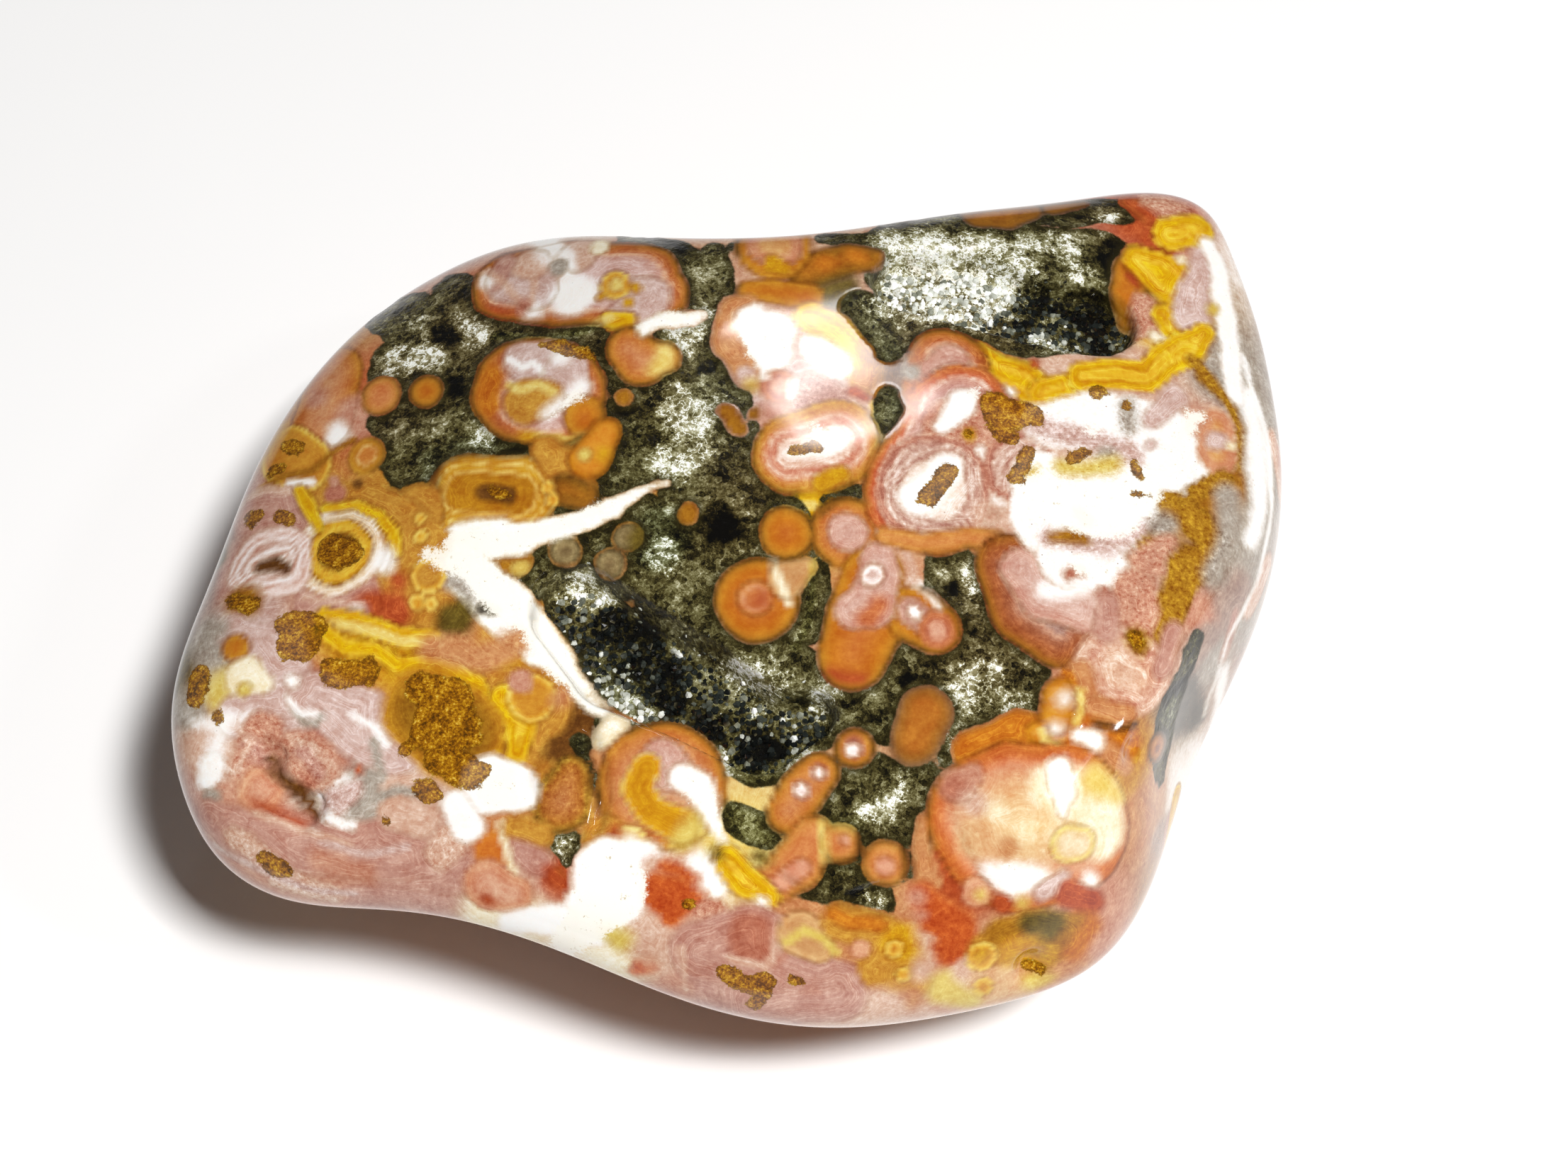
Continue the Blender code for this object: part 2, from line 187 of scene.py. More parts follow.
# Bodies in the order in which they cover each other, each look as chains of balls
PAINTING = (
    ("salmon orb", [[(-22.9, 13.8, 1.9), (-23.1, 11, 2)]]),
    ("soft pink", [[(-21.1, 11, 1.4)], [(-23.6, 12.3, 0.65)]]),
    ("soft white", [[(-22.1, 10.1, 0.8)]]),
    ("peach orb", [[(-19.7, 12.3, 1.2)]]),
    ("orb", [[(-17.1, 12.5, 1)]]),
    ("rimmed rose", [[(-12.6, 18.9, 2.4), (-9.3, 19, 3), (-5.6, 18.7, 2.9), (-4.2, 18, 1.9)]]),
    ("patch lilac", [[(-4.9, 17.5, 1.6), (-5.7, 16.9, 1)], [(-12.7, 19.2, 1.4), (-11, 18.4, 1.2)]]),
    ("patch blush", [[(-8.8, 20.6, 1.2)], [(-11.5, 20.2, 1.1)]]),
    ("patch mauve", [[(-13, 20.3, 0.66), (-13.5, 19, 0.57)]]),
    ("soft white", [
        [(-11, 22, 0.86), (-9.4, 19.5, 0.65)], [(-8.9, 18, 1.4)], [(-11.3, 17.1, 0.81)],
        [(-14, 19.4, 0.57)],
    ]),
    ("patch ash", [[(-10, 19.8, 0.57)]]),
    ("patch cream", [[(-7.6, 21.2, 0.61)], [(-3.7, 16.2, 0.4)]]),
    ("line blush", [
        [(-14.1, 19.9, 0.25), (-13, 19, 0.25), (-12.3, 18, 0.24), (-11.9, 17.1, 0.24)],
        [(-11.9, 20.2, 0.25), (-11.3, 18.9, 0.24), (-11.4, 17.6, 0.24)],
    ]),
    ("soft rose", [[(-11.9, 17.5, 0.53)]]),
    ("soft coral", [[(-13.7, 16.9, 0.81), (-12, 16.2, 0.56), (-10.4, 16.1, 0.48)], [(-6.1, 21.6, 0.57)]]),
    ("gold ring", [[(-6.5, 18.6, 0.96)]]),
    ("patch butter", [[(-6.4, 18.6, 0.44)]]),
    ("patch gold", [[(-5.3, 18.4, 0.36)], [(-7.3, 17.8, 0.32)], [(-5.7, 17.6, 0.32)]]),
    ("mustard band", [[(-6.6, 16.4, 0.6), (-5.8, 16.4, 0.71)]]),
    ("line butter", [[(-13.3, 15.8, 0.24), (-9.9, 15.6, 0.24), (-7.9, 15.9, 0.24), (-6.6, 16.6, 0.24)]]),
    ("rimmed rose", [[(-11.2, 12.6, 3.2), (-9.9, 12.2, 3.2)]]),
    ("patch lilac", [[(-11.4, 14.2, 1.4), (-10.5, 14.5, 1)], [(-9, 13.4, 1.3), (-8.5, 12.6, 0.78)]]),
    ("patch honey", [[(-11.3, 11.8, 1.3), (-10.2, 12, 1)]]),
    ("line butter", [[(-12.4, 12.7, 0.24), (-11.5, 12.4, 0.24), (-10.6, 12.8, 0.24), (-9.8, 12.3, 0.24)]]),
    ("soft white", [[(-8.3, 12.6, 0.47), (-9.1, 11.8, 0.39), (-10.1, 11.2, 0.35)], [(-9.4, 14.3, 0.63)]]),
    ("line white", [[(-12.4, 14.3, 0.24), (-11.6, 13.7, 0.24), (-11, 14, 0.24), (-10.4, 13.4, 0.24)]]),
    ("orb", [[(-7.9, 10.9, 1.2)]]),
    ("soft orange", [[(-13.5, 13.3, 0.87), (-13.4, 11.6, 0.87)]]),
    ("salmon orb", [[(-5.6, 14.8, 1.3), (-4.8, 14, 1.5), (-3.6, 14.2, 1)]]),
    ("soft butter", [[(-3.8, 13.6, 0.71), (-3.5, 14.8, 0.47)]]),
    ("streak", [[(-4.9, 15.8, 0.36), (-3.1, 16.4, 0.52), (-1.7, 16.9, 0.32)]]),
    ("patch ochre", [[(-5.8, 11.9, 0.51)]]),
    ("line straw", [
        [(-11, 9.9, 0.23), (-8.8, 9.5, 0.27), (-7.4, 9.9, 0.23)], [(-10.4, 9.1, 0.23), (-8.8, 8.8, 0.23)],
    ]),
    ("yellow eye", [[(-14.2, 6.6, 2.3), (-11.4, 6.5, 2.2)]]),
    ("soft umber", [
        [(-16.4, 8.4, 0.86), (-16.4, 6.8, 0.7), (-15.8, 5.4, 0.46)],
        [(-15.1, 9.1, 0.55), (-12.7, 9.3, 0.47), (-10.4, 9.1, 0.47)],
    ]),
    ("patch umber", [[(-13.3, 6.5, 0.46), (-11.9, 6.4, 0.5)]]),
    ("honey field", [
        [(-17, 5.6, 1.7), (-17.4, 3.3, 1.9), (-16.5, 0.6, 1.9)],
        [(-10, 9, 0.85), (-8.7, 8, 1.3), (-7.9, 6.8, 1)],
    ]),
    ("orb dark", [[(-8.8, 6.8, 0.92), (-7.7, 6.4, 0.77)]]),
    ("orb gloss", [[(-6.7, 9.9, 0.93), (-7.5, 8.5, 1.2)]]),
    ("patch straw", [[(-7.8, 8.7, 0.35)]]),
    ("soft gold", [[(-6.8, 8.7, 0.39)], [(-11, 9.9, 0.47)]]),
    ("patch ochre", [[(-12.4, 2.9, 0.68), (-11.2, 2.9, 0.84)]]),
    ("patch straw", [[(-11, 2.5, 0.46)]]),
    ("gold ring", [[(-9.7, 6.9, 0.42)], [(-9.4, 6.2, 0.42)]]),
    ("dark lobe", [[(-8.7, 3.4, 0.91)], [(-6.2, 2.7, 0.91)], [(-5.3, 4.2, 0.84)]]),
    ("soft olive", [[(-3.6, 4.1, 1.7)]]),
    ("patch ochre", [[(-2.1, 5.5, 0.61)]]),
    # The two long white streaks are white agate and, in part, a painted highlight where the polish mirrors
    # the light
    ("streak", [
        [
            (-17.2, 3.5, 0.61), (-14.7, 3.8, 0.99), (-12.4, 4, 1.1), (-9.8, 4.5, 0.76), (-6.7, 5.5, 0.5),
            (-3.3, 7.1, 0.23),
        ],
        [
            (-16.5, 3.3, 0.69), (-14.3, 2.5, 1.4), (-12.1, 0.6, 1.6), (-10.3, -0.9, 1.3), (-8.7, -2.8, 1.1),
            (-7, -4.5, 0.76), (-5.4, -5.4, 0.38),
        ],
    ]),
    ("patch slate", [[(-13, 0.3, 0.42), (-12.4, 0.2, 0.34)]]),
    ("soft ash", [[(-15.8, 2.5, 0.46), (-13.8, 1, 0.38)]]),
    ("honey field", [[(-22.7, 6.5, 1.3), (-18.8, 5.7, 1.4), (-16.3, 3.7, 1.5), (-17.6, 0.6, 1.3)]]),
    ("gold ring", [[(-23.8, 8.3, 1.7), (-25, 9, 1.8)]]),
    ("line ochre", [
        [(-26.4, 7, 0.24), (-25, 7.7, 0.24), (-23.3, 8, 0.24), (-22.1, 9.1, 0.24), (-21.1, 9.7, 0.24)],
    ]),
    ("soft gold", [[(-25.7, 10.5, 0.57), (-26.7, 9.1, 0.49)]]),
    ("orb ring", [[(-20.2, 8.8, 1.1)]]),
    ("patch rose", [[(-21.8, 6.8, 0.67)]]),
    ("patch pink", [[(-21.9, 7.5, 0.31)]]),
    ("patch umber", [[(-20.5, 7.3, 0.31)]]),
    ("line white", [[(-24.6, 7.3, 0.24), (-23.2, 7.4, 0.24)]]),
    ("mauve field", [[(-26.9, 5.6, 1.3), (-24.7, 6, 1.3), (-22.6, 4.4, 0.85)]]),
    ("line blush", [[(-28.2, 5.2, 0.24), (-27.4, 6.4, 0.24), (-26, 7, 0.24), (-24.4, 6.8, 0.24)]]),
    ("mauve field", [[(-22.5, 2.4, 0.92), (-21.9, 0.6, 1.5), (-20, 0.6, 1.5)]]),
    ("round moss", [[(-21.1, 3.5, 2.5)]]),
    ("mustard band", [
        [(-23.8, 6.9, 0.43), (-23.1, 5.8, 0.47), (-22.4, 4.8, 0.39)],
        [(-22.2, 5.9, 0.35), (-20.5, 6, 0.35), (-19, 5.4, 0.43), (-18.1, 4.4, 0.46), (-17.8, 3.3, 0.34)],
    ]),
    ("star agate", [[(-25.7, 2.7, 1.9), (-24.3, 2.9, 1.9)]]),
    ("patch umber", [[(-25.6, 2.6, 0.35), (-24.9, 2.7, 0.46), (-24.1, 2.4, 0.35)]]),
    ("line blush", [
        [(-22.8, 1, 0.19), (-20.8, 0.6, 0.19), (-19.2, 0.2, 0.19)],
        [(-22.1, 0.3, 0.19), (-20.3, -0.2, 0.19), (-18.7, -0.4, 0.19)],
    ]),
    ("soft olive", [[(-28.4, 4.6, 0.36)], [(-29, 2.6, 0.4)]]),
    ("soft coral", [[(-19.2, 0.2, 0.99), (-17.8, 0.3, 0.99)], [(-17.7, 1.8, 0.53)]]),
    ("soft white", [[(-18.6, 2.9, 0.76)], [(-19.9, -0.1, 0.46)]]),
    ("gold ring", [
        [(-16, 2.1, 0.99)], [(-16.5, 0.7, 0.49)], [(-15.8, 0.6, 0.38)], [(-16.7, 5.2, 0.38)],
        [(-16.6, 4.2, 0.42)],
    ]),
    ("patch honey", [[(-16, 2.1, 0.57)]]),
    ("soft olive", [[(-14.5, -0.3, 1.1)]]),
    ("mustard band", [[(-21.7, -0.2, 0.61), (-19.9, -0.5, 0.57), (-17.5, -1.1, 0.64), (-15.6, -1.4, 0.6)]]),
    ("line butter", [[(-21.6, -0.5, 0.23), (-19.1, -0.8, 0.23), (-17.1, -1.4, 0.23), (-15.2, -1.4, 0.23)]]),
    ("soft ochre", [[(-26.3, 0.6, 1)]]),
    ("lilac field", [[(-26.6, -0.9, 0.99), (-24, -2.4, 1.7), (-23.5, -5, 1.8), (-26.1, -5.4, 1.1)]]),
    ("orb", [[(-26.4, -1.8, 0.8)]]),
    ("soft ash", [[(-27.4, -0.8, 0.61)]]),
    ("patch cream", [[(-25.7, -3.3, 1.1), (-24.7, -3.7, 0.6)]]),
    ("patch straw", [[(-25.6, -4, 0.42)]]),
    ("soft white", [[(-28.3, -5.8, 0.3), (-26.9, -5.8, 0.38), (-25.3, -5.4, 0.26)]]),
    ("lilac field", [[(-22, -4.4, 1.4), (-19.3, -5.7, 1.8), (-17.3, -7, 1.6)]]),
    ("line ash", [
        [(-22.9, -5, 0.23), (-22.4, -5.7, 0.23), (-21.8, -5.8, 0.23), (-21.4, -5.4, 0.23)],
        [(-18.5, -6.6, 0.26), (-18.3, -7.7, 0.26), (-17.9, -8.6, 0.22)],
        [(-19.4, -10.1, 0.22), (-17.2, -9.2, 0.26), (-15.7, -9.4, 0.22)],
    ]),
    ("line white", [
        [(-19.7, -5.3, 0.19), (-18.5, -5.9, 0.19), (-17.9, -6.8, 0.19)],
        [(-23.3, -4.4, 0.19), (-22.7, -5.2, 0.19), (-21.7, -5.3, 0.19)],
    ]),
    ("grain pink", [[(-24.5, -6.5, 1.3), (-25.4, -8.1, 1.1)], [(-21.8, -7.9, 1.5), (-22.6, -7.2, 0.97)]]),
    ("soft rose", [[(-22.4, -9.1, 0.34)]]),
    ("grain mauve", [
        [(-25.2, -6.9, 0.53), (-24.5, -7.5, 0.45)], [(-22.2, -7.3, 0.52), (-21.6, -8.4, 0.45)],
    ]),
    ("line blush", [
        [(-26.1, -5.7, 0.19), (-25.2, -6.7, 0.19), (-25.6, -7.8, 0.19), (-26.3, -8.5, 0.19)],
        [(-23.2, -6.5, 0.19), (-21.9, -6.9, 0.19), (-20.7, -7.9, 0.19), (-21.3, -9.1, 0.19)],
    ]),
    ("soft white", [
        [(-26.5, -5.4, 0.38), (-27.2, -7.2, 0.34), (-27.8, -8.7, 0.3)],
        [(-20.6, -9.8, 0.45), (-19.9, -8.7, 0.3)],
    ]),
    ("grain white", [
        [(-27.2, -7.6, 0.53), (-27.3, -8.5, 0.53)], [(-20.2, -9.7, 0.52), (-20.6, -9, 0.3)],
        [(-23.2, -3.5, 0.38)],
    ]),
    ("blush orb", [[(-24.5, -9.3, 1.3)]]),
    ("patch ash", [[(-18.5, -10.7, 0.45)], [(-27.1, -9.5, 0.52)]]),
    ("patch olive", [[(-17.6, -11, 0.44)]]),
    ("streak", [[(-18.4, -11.4, 0.26), (-17.7, -11.6, 0.3)]]),
    ("patch coral", [[(-19.3, -8.1, 0.3)]]),
    ("patch umber", [[(-24, -7.6, 0.3), (-23.5, -8.6, 0.26), (-22.3, -9.6, 0.45), (-21.4, -10.6, 0.34)]]),
    ("mauve field", [
        [
            (-27.2, -10.6, 1.1), (-25.2, -12, 1.3), (-22.5, -12, 1.5), (-19.4, -12.3, 1.5),
            (-15.6, -12.1, 1.6),
        ],
    ]),
    ("soft coral", [[(-24.6, -10.2, 0.3), (-22.1, -10.8, 0.34)]]),
    ("line blush", [[(-24.8, -10.5, 0.19), (-23.2, -11, 0.19), (-21.7, -11.4, 0.19), (-19.8, -12, 0.19)]]),
    ("patch blush", [[(-17.2, -10.5, 0.89), (-15.7, -10.8, 0.89)], [(-13.4, -9.7, 0.96)]]),
    ("soft pink", [[(-21.3, -12.9, 0.59), (-19, -13.5, 0.67)]]),
    ("grain blush", [
        [(-14.1, -11.9, 0.89), (-14.9, -12.6, 0.74)],
        [(-26, -11.7, 0.52), (-23.3, -13.9, 0.75), (-20.7, -14.7, 0.6)],
    ]),
    ("line lilac", [
        [(-27.3, -12.2, 0.19), (-24.9, -13.4, 0.19), (-22.2, -14.4, 0.19), (-19.5, -14.7, 0.19)],
        [(-21.1, -12, 0.19), (-18.6, -12.5, 0.19), (-16.6, -12.1, 0.18)],
    ]),
    ("rhomb", [[(-12.2, -12.1, 0.77), (-11.6, -12.5, 0.52)]]),
    ("line cream", [[(-11.7, -10.9, 0.22), (-11.3, -12.2, 0.22), (-10.8, -13.6, 0.22)]]),
    ("blush orb", [[(-12.2, -14.1, 1.5), (-11.1, -14.5, 1.2)]]),
    ("soft coral", [[(-12.3, -15, 0.44)]]),
    ("honey field", [[(-12.1, -4.9, 2.2), (-10.4, -4.9, 2.3)]]),
    ("mustard band", [
        [
            (-21.8, -0.9, 0.49), (-20.4, -1.7, 0.49), (-18.7, -1.9, 0.49), (-17.4, -2.7, 0.56),
            (-16, -2.6, 0.53), (-14.4, -2.9, 0.53), (-13.2, -3.7, 0.6), (-12.5, -5, 0.56),
            (-12.2, -6.8, 0.56),
        ],
        [(-11.7, -4.4, 0.75), (-10.8, -5.7, 0.97), (-10.9, -7.1, 0.74)],
    ]),
    ("gold ring", [[(-10.2, -4.4, 1.3)]]),
    ("soft peach", [[(-15.6, -1.8, 0.68), (-12.9, -2.2, 0.83), (-11.1, -1.4, 0.75)], [(-8.7, -4.4, 0.6)]]),
    ("patch pink", [[(-10.8, -3.5, 0.64)]]),
    ("soft umber", [[(-7.6, -6.2, 0.74)], [(-8.7, -7.1, 0.59)]]),
    ("moss zone", [[(-15.9, -5, 2.3), (-14.3, -6.1, 2.5), (-13.7, -7.5, 1.5)]]),
    ("orb dark", [[(4.4, 19.3, 1.2), (6.7, 20.1, 1.1), (8.2, 20.1, 0.73)]]),
    ("orb", [[(2.5, 20.9, 2.2)]]),
    ("pink ring", [[(2.3, 21, 1.4), (2.8, 21, 1.4)]]),
    ("patch gold", [[(2.3, 19.8, 0.56), (3, 19.6, 0.4)]]),
    ("soft orange", [[(5.4, 19.8, 0.56)], [(7.1, 20.3, 0.56)]]),
    ("soft olive", [[(5.4, 17.5, 1.1), (6.6, 18.3, 0.72)], [(6.6, 15.5, 0.87), (7.6, 14.4, 0.79)]]),
    ("orb", [[(1, 18.2, 0.64), (2.8, 18.1, 0.8), (4.4, 17.8, 0.88)]]),
    ("peach field", [[(0.5, 16.9, 1.2), (0.1, 15, 1.2), (1.3, 13.6, 1.2)]]),
    ("lilac field", [[(4, 13.6, 1.6), (6, 13.6, 1.3)]]),
    ("mustard band", [[(4.5, 16.6, 0.87), (6, 15.7, 1.1), (7, 14.4, 1.1), (7.3, 13.2, 0.78)]]),
    ("soft ochre", [[(8, 14.6, 0.95), (8.1, 12.6, 0.86)]]),
    ("soft umber", [[(8.8, 14.6, 0.63), (9.2, 12.8, 0.47)]]),
    ("soft peach", [[(7.3, 13.1, 0.71)]]),
    ("glare", [
        [(1.3, 16.4, 1), (2.2, 15.6, 1.5), (2.6, 14.4, 1)],
        [(4.8, 14.7, 0.87), (5.9, 13.8, 0.79), (6.4, 13.6, 0.31)],
    ]),
    ("patch lilac", [[(1, 13.1, 0.63)]]),
    ("soft straw", [[(1.3, 12.7, 0.39)]]),
    ("rose ring", [[(2.8, 12.5, 1.1)]]),
    ("grain mauve", [[(4.4, 12.1, 1.2), (5.8, 11.9, 1)]]),
    ("patch coral", [[(6.9, 12.4, 0.35), (7.6, 11.9, 0.27)]]),
    ("line white", [[(3.6, 12.8, 0.23), (3.4, 11.9, 0.23)], [(1.9, 13.8, 0.24), (2, 13.1, 0.24)]]),
    ("big eye", [[(3.5, 8.7, 2.3), (5.2, 9, 2.5), (5.9, 9.4, 2.5)]]),
    ("patch gold", [[(5.1, 7, 0.54), (6.1, 7.6, 0.46)]]),
    ("line butter", [
        [(8, 11.5, 0.23), (8.4, 9.5, 0.23), (8.1, 7.6, 0.23)], [(2.5, 5.9, 0.23), (4.7, 5.9, 0.23)],
    ]),
    ("patch ochre", [[(0, 11.1, 0.54), (0.5, 10.2, 0.5)], [(1.3, 11.1, 0.39)]]),
    ("salmon orb", [[(6.4, 4.4, 2)]]),
    ("lilac core", [[(6.5, 4.4, 1.1)]]),
    ("orb", [
        [(3.2, 4.4, 1.5)], [(1.6, 0.8, 2.3)], [(7.8, 2, 1.7), (7.4, -0.1, 2.2), (6.7, -2.1, 1.9)],
        [(10.1, 0, 1.6), (11.1, -0.7, 1.4)],
    ]),
    ("tan bulge", [[(3.3, 1.9, 1.1), (4.2, 2.5, 0.6)]]),
    ("line cream", [[(2.5, 2.9, 0.23), (2.8, 1.9, 0.23), (3.3, 0.6, 0.23)]]),
    ("line straw", [[(4.6, 2.8, 0.23), (4.5, 1.2, 0.23), (4.2, -0.5, 0.22), (3.7, -1.7, 0.22)]]),
    ("eye ring", [[(1.5, 0.9, 0.98)]]),
    ("soft salmon", [[(1.6, 0.9, 0.49)]]),
    ("lilac core", [[(8.1, 2.9, 0.98), (8.2, 2, 1.1), (7.7, 0.6, 1.3), (6.8, 0.3, 1.1)]]),
    ("soft salmon", [[(7.5, -0.1, 0.67), (8.1, 0.6, 0.53)]]),
    ("eye white", [[(7.8, 2.1, 0.64)]]),
    ("lilac core", [[(9.8, 0.2, 0.75), (10.3, -0.2, 0.67)]]),
    ("eye white", [[(9.9, 0.2, 0.41), (10.3, -0.2, 0.34)]]),
    ("rose ring", [[(11.2, -0.8, 1.1)]]),
    ("line white", [[(9.9, 1.8, 0.23), (10.7, 1.3, 0.23), (11.3, 0.5, 0.23)]]),
    ("line blush", [[(8.2, 4.4, 0.23), (9.5, 3.5, 0.23), (9.9, 2.5, 0.23), (10, 1.8, 0.23)]]),
    ("soft coral", [[(5.6, -3.1, 0.45), (7.1, -3.5, 0.45)]]),
    ("blurred orb", [[(10.5, -5.1, 1.4), (9.9, -6.5, 1.3)]]),
    ("salmon orb", [[(6.7, -6.9, 1.1)], [(4.9, -8.2, 1.1), (4, -9.2, 1.3), (3.3, -10.2, 1.2)]]),
    ("soft rose", [[(6.5, -6.4, 0.37)]]),
    ("eye white", [[(6.6, -7, 0.48)], [(4.9, -8.2, 0.37)], [(4, -9.1, 0.44)]]),
    ("peach orb", [
        [(4.7, -11.4, 1.1), (3.7, -12.9, 1.4), (2.6, -13.8, 1.1)], [(6, -11.8, 1.1)], [(8.3, -12.8, 1.2)],
    ]),
    ("eye pink", [[(3.9, -13, 0.51), (2.9, -13.8, 0.51)], [(8.3, -12.9, 0.51)], [(6.2, -11.6, 0.33)]]),
    ("line butter", [[(5, -10.7, 0.22), (5, -12.1, 0.22), (5.3, -13.3, 0.22)]]),
    ("soft straw", [[(5.5, -10.6, 0.33), (6.7, -10.8, 0.33)]]),
    ("peach field", [[(10.3, -10.7, 0.51), (10.2, -12.1, 0.62), (10.5, -13.8, 0.73)]]),
    ("mustard band", [[(0.1, -12.6, 0.81), (1.1, -13.8, 0.88), (2.4, -14.5, 0.58)]]),
    ("soft olive", [[(1.9, -12.6, 0.44)], [(-0.4, -12.3, 0.37)]]),
    ("soft honey", [[(5.8, -13.7, 0.88)]]),
    ("soft pink", [[(6.1, -14.1, 0.33)]]),
    ("line umber", [
        [(7, -11.3, 0.22), (7, -12.5, 0.22), (6.1, -12.8, 0.22), (5, -13.1, 0.22)],
        [(9.3, -11.8, 0.22), (9.4, -13.4, 0.22)], [(5.1, 5.5, 0.23), (5.9, 6.2, 0.23), (7, 6.8, 0.23)],
    ]),
    ("orb dark", [
        [(14.3, 23.1, 0.99), (16, 23.1, 1.1), (17.3, 23.5, 0.83)], [(18.6, 23.7, 0.58), (20.7, 24, 0.37)],
    ]),
    ("coral field", [[(23.2, 24.2, 0.67), (24.6, 23.2, 0.83)]]),
    ("grain pink", [[(24.5, 24.4, 0.67), (26.1, 23.5, 1.2), (25.6, 22.5, 0.66)]]),
    ("coral field", [[(24.5, 21.7, 0.74), (25.3, 21.2, 0.49)]]),
    ("mustard band", [[(25.6, 22.1, 1.1), (27.5, 22.5, 1), (27.7, 21.5, 0.58)]]),
    ("orb", [[(23.1, 19.6, 1.2), (22.7, 18.4, 1.1), (22.9, 16.7, 0.89)]]),
    ("coral field", [[(23.3, 19.3, 0.65)]]),
    ("mustard band", [[(23.5, 20.4, 0.98), (24.7, 19.7, 1.4), (25.5, 19, 1.5)]]),
    ("grain pink", [[(23.7, 17.6, 0.89), (24, 16.3, 0.81), (23, 15.9, 0.48)]]),
    ("mustard band", [[(24.7, 17.1, 0.73), (25.3, 16.1, 0.81)]]),
    ("lilac field", [[(27.4, 20.6, 0.74), (26.4, 17.2, 1.1), (26.9, 18.6, 0.74)]]),
    ("patch cream", [[(26, 20.5, 0.33)], [(24.1, 15.7, 0.36), (24.8, 15.5, 0.24)]]),
    ("patch white", [
        [(27.9, 21.5, 0.5), (28.5, 19.5, 0.66), (28.4, 16.9, 0.73), (28.4, 14.3, 0.64), (28.6, 12.2, 0.56)],
    ]),
    ("patch straw", [[(27.7, 17.6, 0.37)]]),
    ("mustard band", [
        [(13.8, 14.4, 0.95), (14.7, 13.4, 1.2), (16.2, 12.9, 1.3), (17.1, 12.4, 1.1)],
        [(17.6, 12.1, 1.1), (18.4, 12.1, 1.3), (19.4, 12.8, 0.87)],
        [
            (19.8, 13.2, 0.99), (21.6, 13.4, 1.1), (23.3, 13.2, 0.95), (24.6, 14.2, 1.1), (25.9, 15.1, 1.1),
            (26.9, 15.9, 0.73),
        ],
    ]),
    ("patch coral", [[(16.9, 13.9, 0.32)]]),
    ("rimmed rose", [[(12.1, 13.6, 2.4), (11.4, 12.1, 2)]]),
    ("lilac core", [[(11.7, 13.3, 1.3), (12.3, 14, 1)]]),
    ("patch ash", [[(10.1, 13.5, 0.51)]]),
    ("grain pink", [[(13.2, 13, 0.71), (14.2, 12.4, 0.47)]]),
    ("patch white", [[(13.8, 12.6, 0.47), (15.4, 12.1, 0.39)]]),
    ("ochre field", [
        [(26.2, 14.4, 0.48), (27, 13.3, 0.48), (28.1, 11.5, 0.44), (28.4, 9.6, 0.39), (28.1, 8.2, 0.35)],
    ]),
    ("agate", [[(12.7, 11.3, 2.7), (11.1, 6.8, 3.8)], [(14.5, 9.5, 2.6)]]),
    ("grain pink", [[(12.3, 10.3, 1.6), (14.3, 9.9, 1.6), (13.6, 8.3, 1)]]),
    ("patch white", [[(12.8, 11.5, 0.86), (11.8, 10.3, 0.47)], [(14.3, 6.4, 0.77), (13.8, 8.7, 0.46)]]),
    ("ringed agate", [[(11.2, 6.8, 3.1)]]),
    ("glare", [[(11.8, 7.8, 1), (10.3, 6.3, 1.1)]]),
    ("ringed agate", [[(15.9, 8, 2)]]),
    ("patch gold", [[(13.3, 9.8, 0.43)]]),
    ("soft blush", [[(14.1, 5.3, 0.99)], [(15.8, 5.2, 0.84)]]),
    ("peach orb", [[(8.5, 4.2, 0.53), (10.4, 3.8, 0.61), (12.7, 4.1, 0.65), (14.6, 4, 0.61)]]),
    ("rimmed wide", [[(15.3, 2.5, 2), (16, 0.6, 2.2), (17.6, -0.7, 2.1)]]),
    ("lilac core", [[(15.8, 2.5, 1.2), (16.9, 1, 1.4), (19.3, 0.3, 1.4)]]),
    ("grain white", [
        [(17.1, 7.2, 1.7), (18.1, 5.6, 2.9), (21.7, 6.4, 2.9), (24.2, 8.4, 2.2)],
        [(18, 2.9, 1.5), (20.2, 2.5, 1.3)], [(17.2, 10.3, 1.2), (20, 10.8, 1.6), (24, 10.4, 1.3)],
    ]),
    ("soft lilac", [
        [(16.8, 10.3, 0.62), (19.6, 9.9, 0.7), (22.3, 8.8, 0.62)],
        [(17.3, 4.1, 0.53), (20.3, 3.7, 0.61), (22.7, 4.8, 0.54)],
    ]),
    ("soft white", [[(16.8, 1.2, 0.53), (19, 1.4, 0.53)]]),
    ("patch rose", [[(18.2, 2.1, 0.34), (18.9, 2.3, 0.42)], [(20.2, 1.2, 0.41)]]),
    ("patch ochre", [[(17.6, 4.1, 0.34), (18.7, 4.3, 0.49), (19.2, 4.1, 0.3)]]),
    ("patch ash", [[(19.1, 5.5, 0.31), (19.5, 5.1, 0.38)]]),
    ("lilac field", [[(25, 12.1, 0.79), (23.4, 10.8, 0.55)], [(23.3, 9.3, 0.35)]]),
    ("soft ash", [[(22.1, 11.4, 0.47), (22.2, 10.4, 0.47)], [(20.7, 8.8, 0.54)]]),
    ("soft straw", [[(21, 8.2, 0.46), (18.3, 8, 0.54)], [(16.7, 7.6, 0.38)]]),
    ("pink ring", [[(27.1, 10.5, 1), (27, 8.8, 1.2)]]),
    ("lilac field", [[(27, 9.6, 0.67)]]),
    ("patch cream", [[(27.8, 9.3, 0.35)]]),
    ("ochre field", [
        [(25.7, 6.8, 0.7), (27.2, 7.3, 0.54)], [(24.2, 5.9, 0.92), (25.5, 5, 1), (26.4, 4.1, 0.84)],
        [(23.5, 4.5, 0.46), (22.3, 3.7, 0.46)],
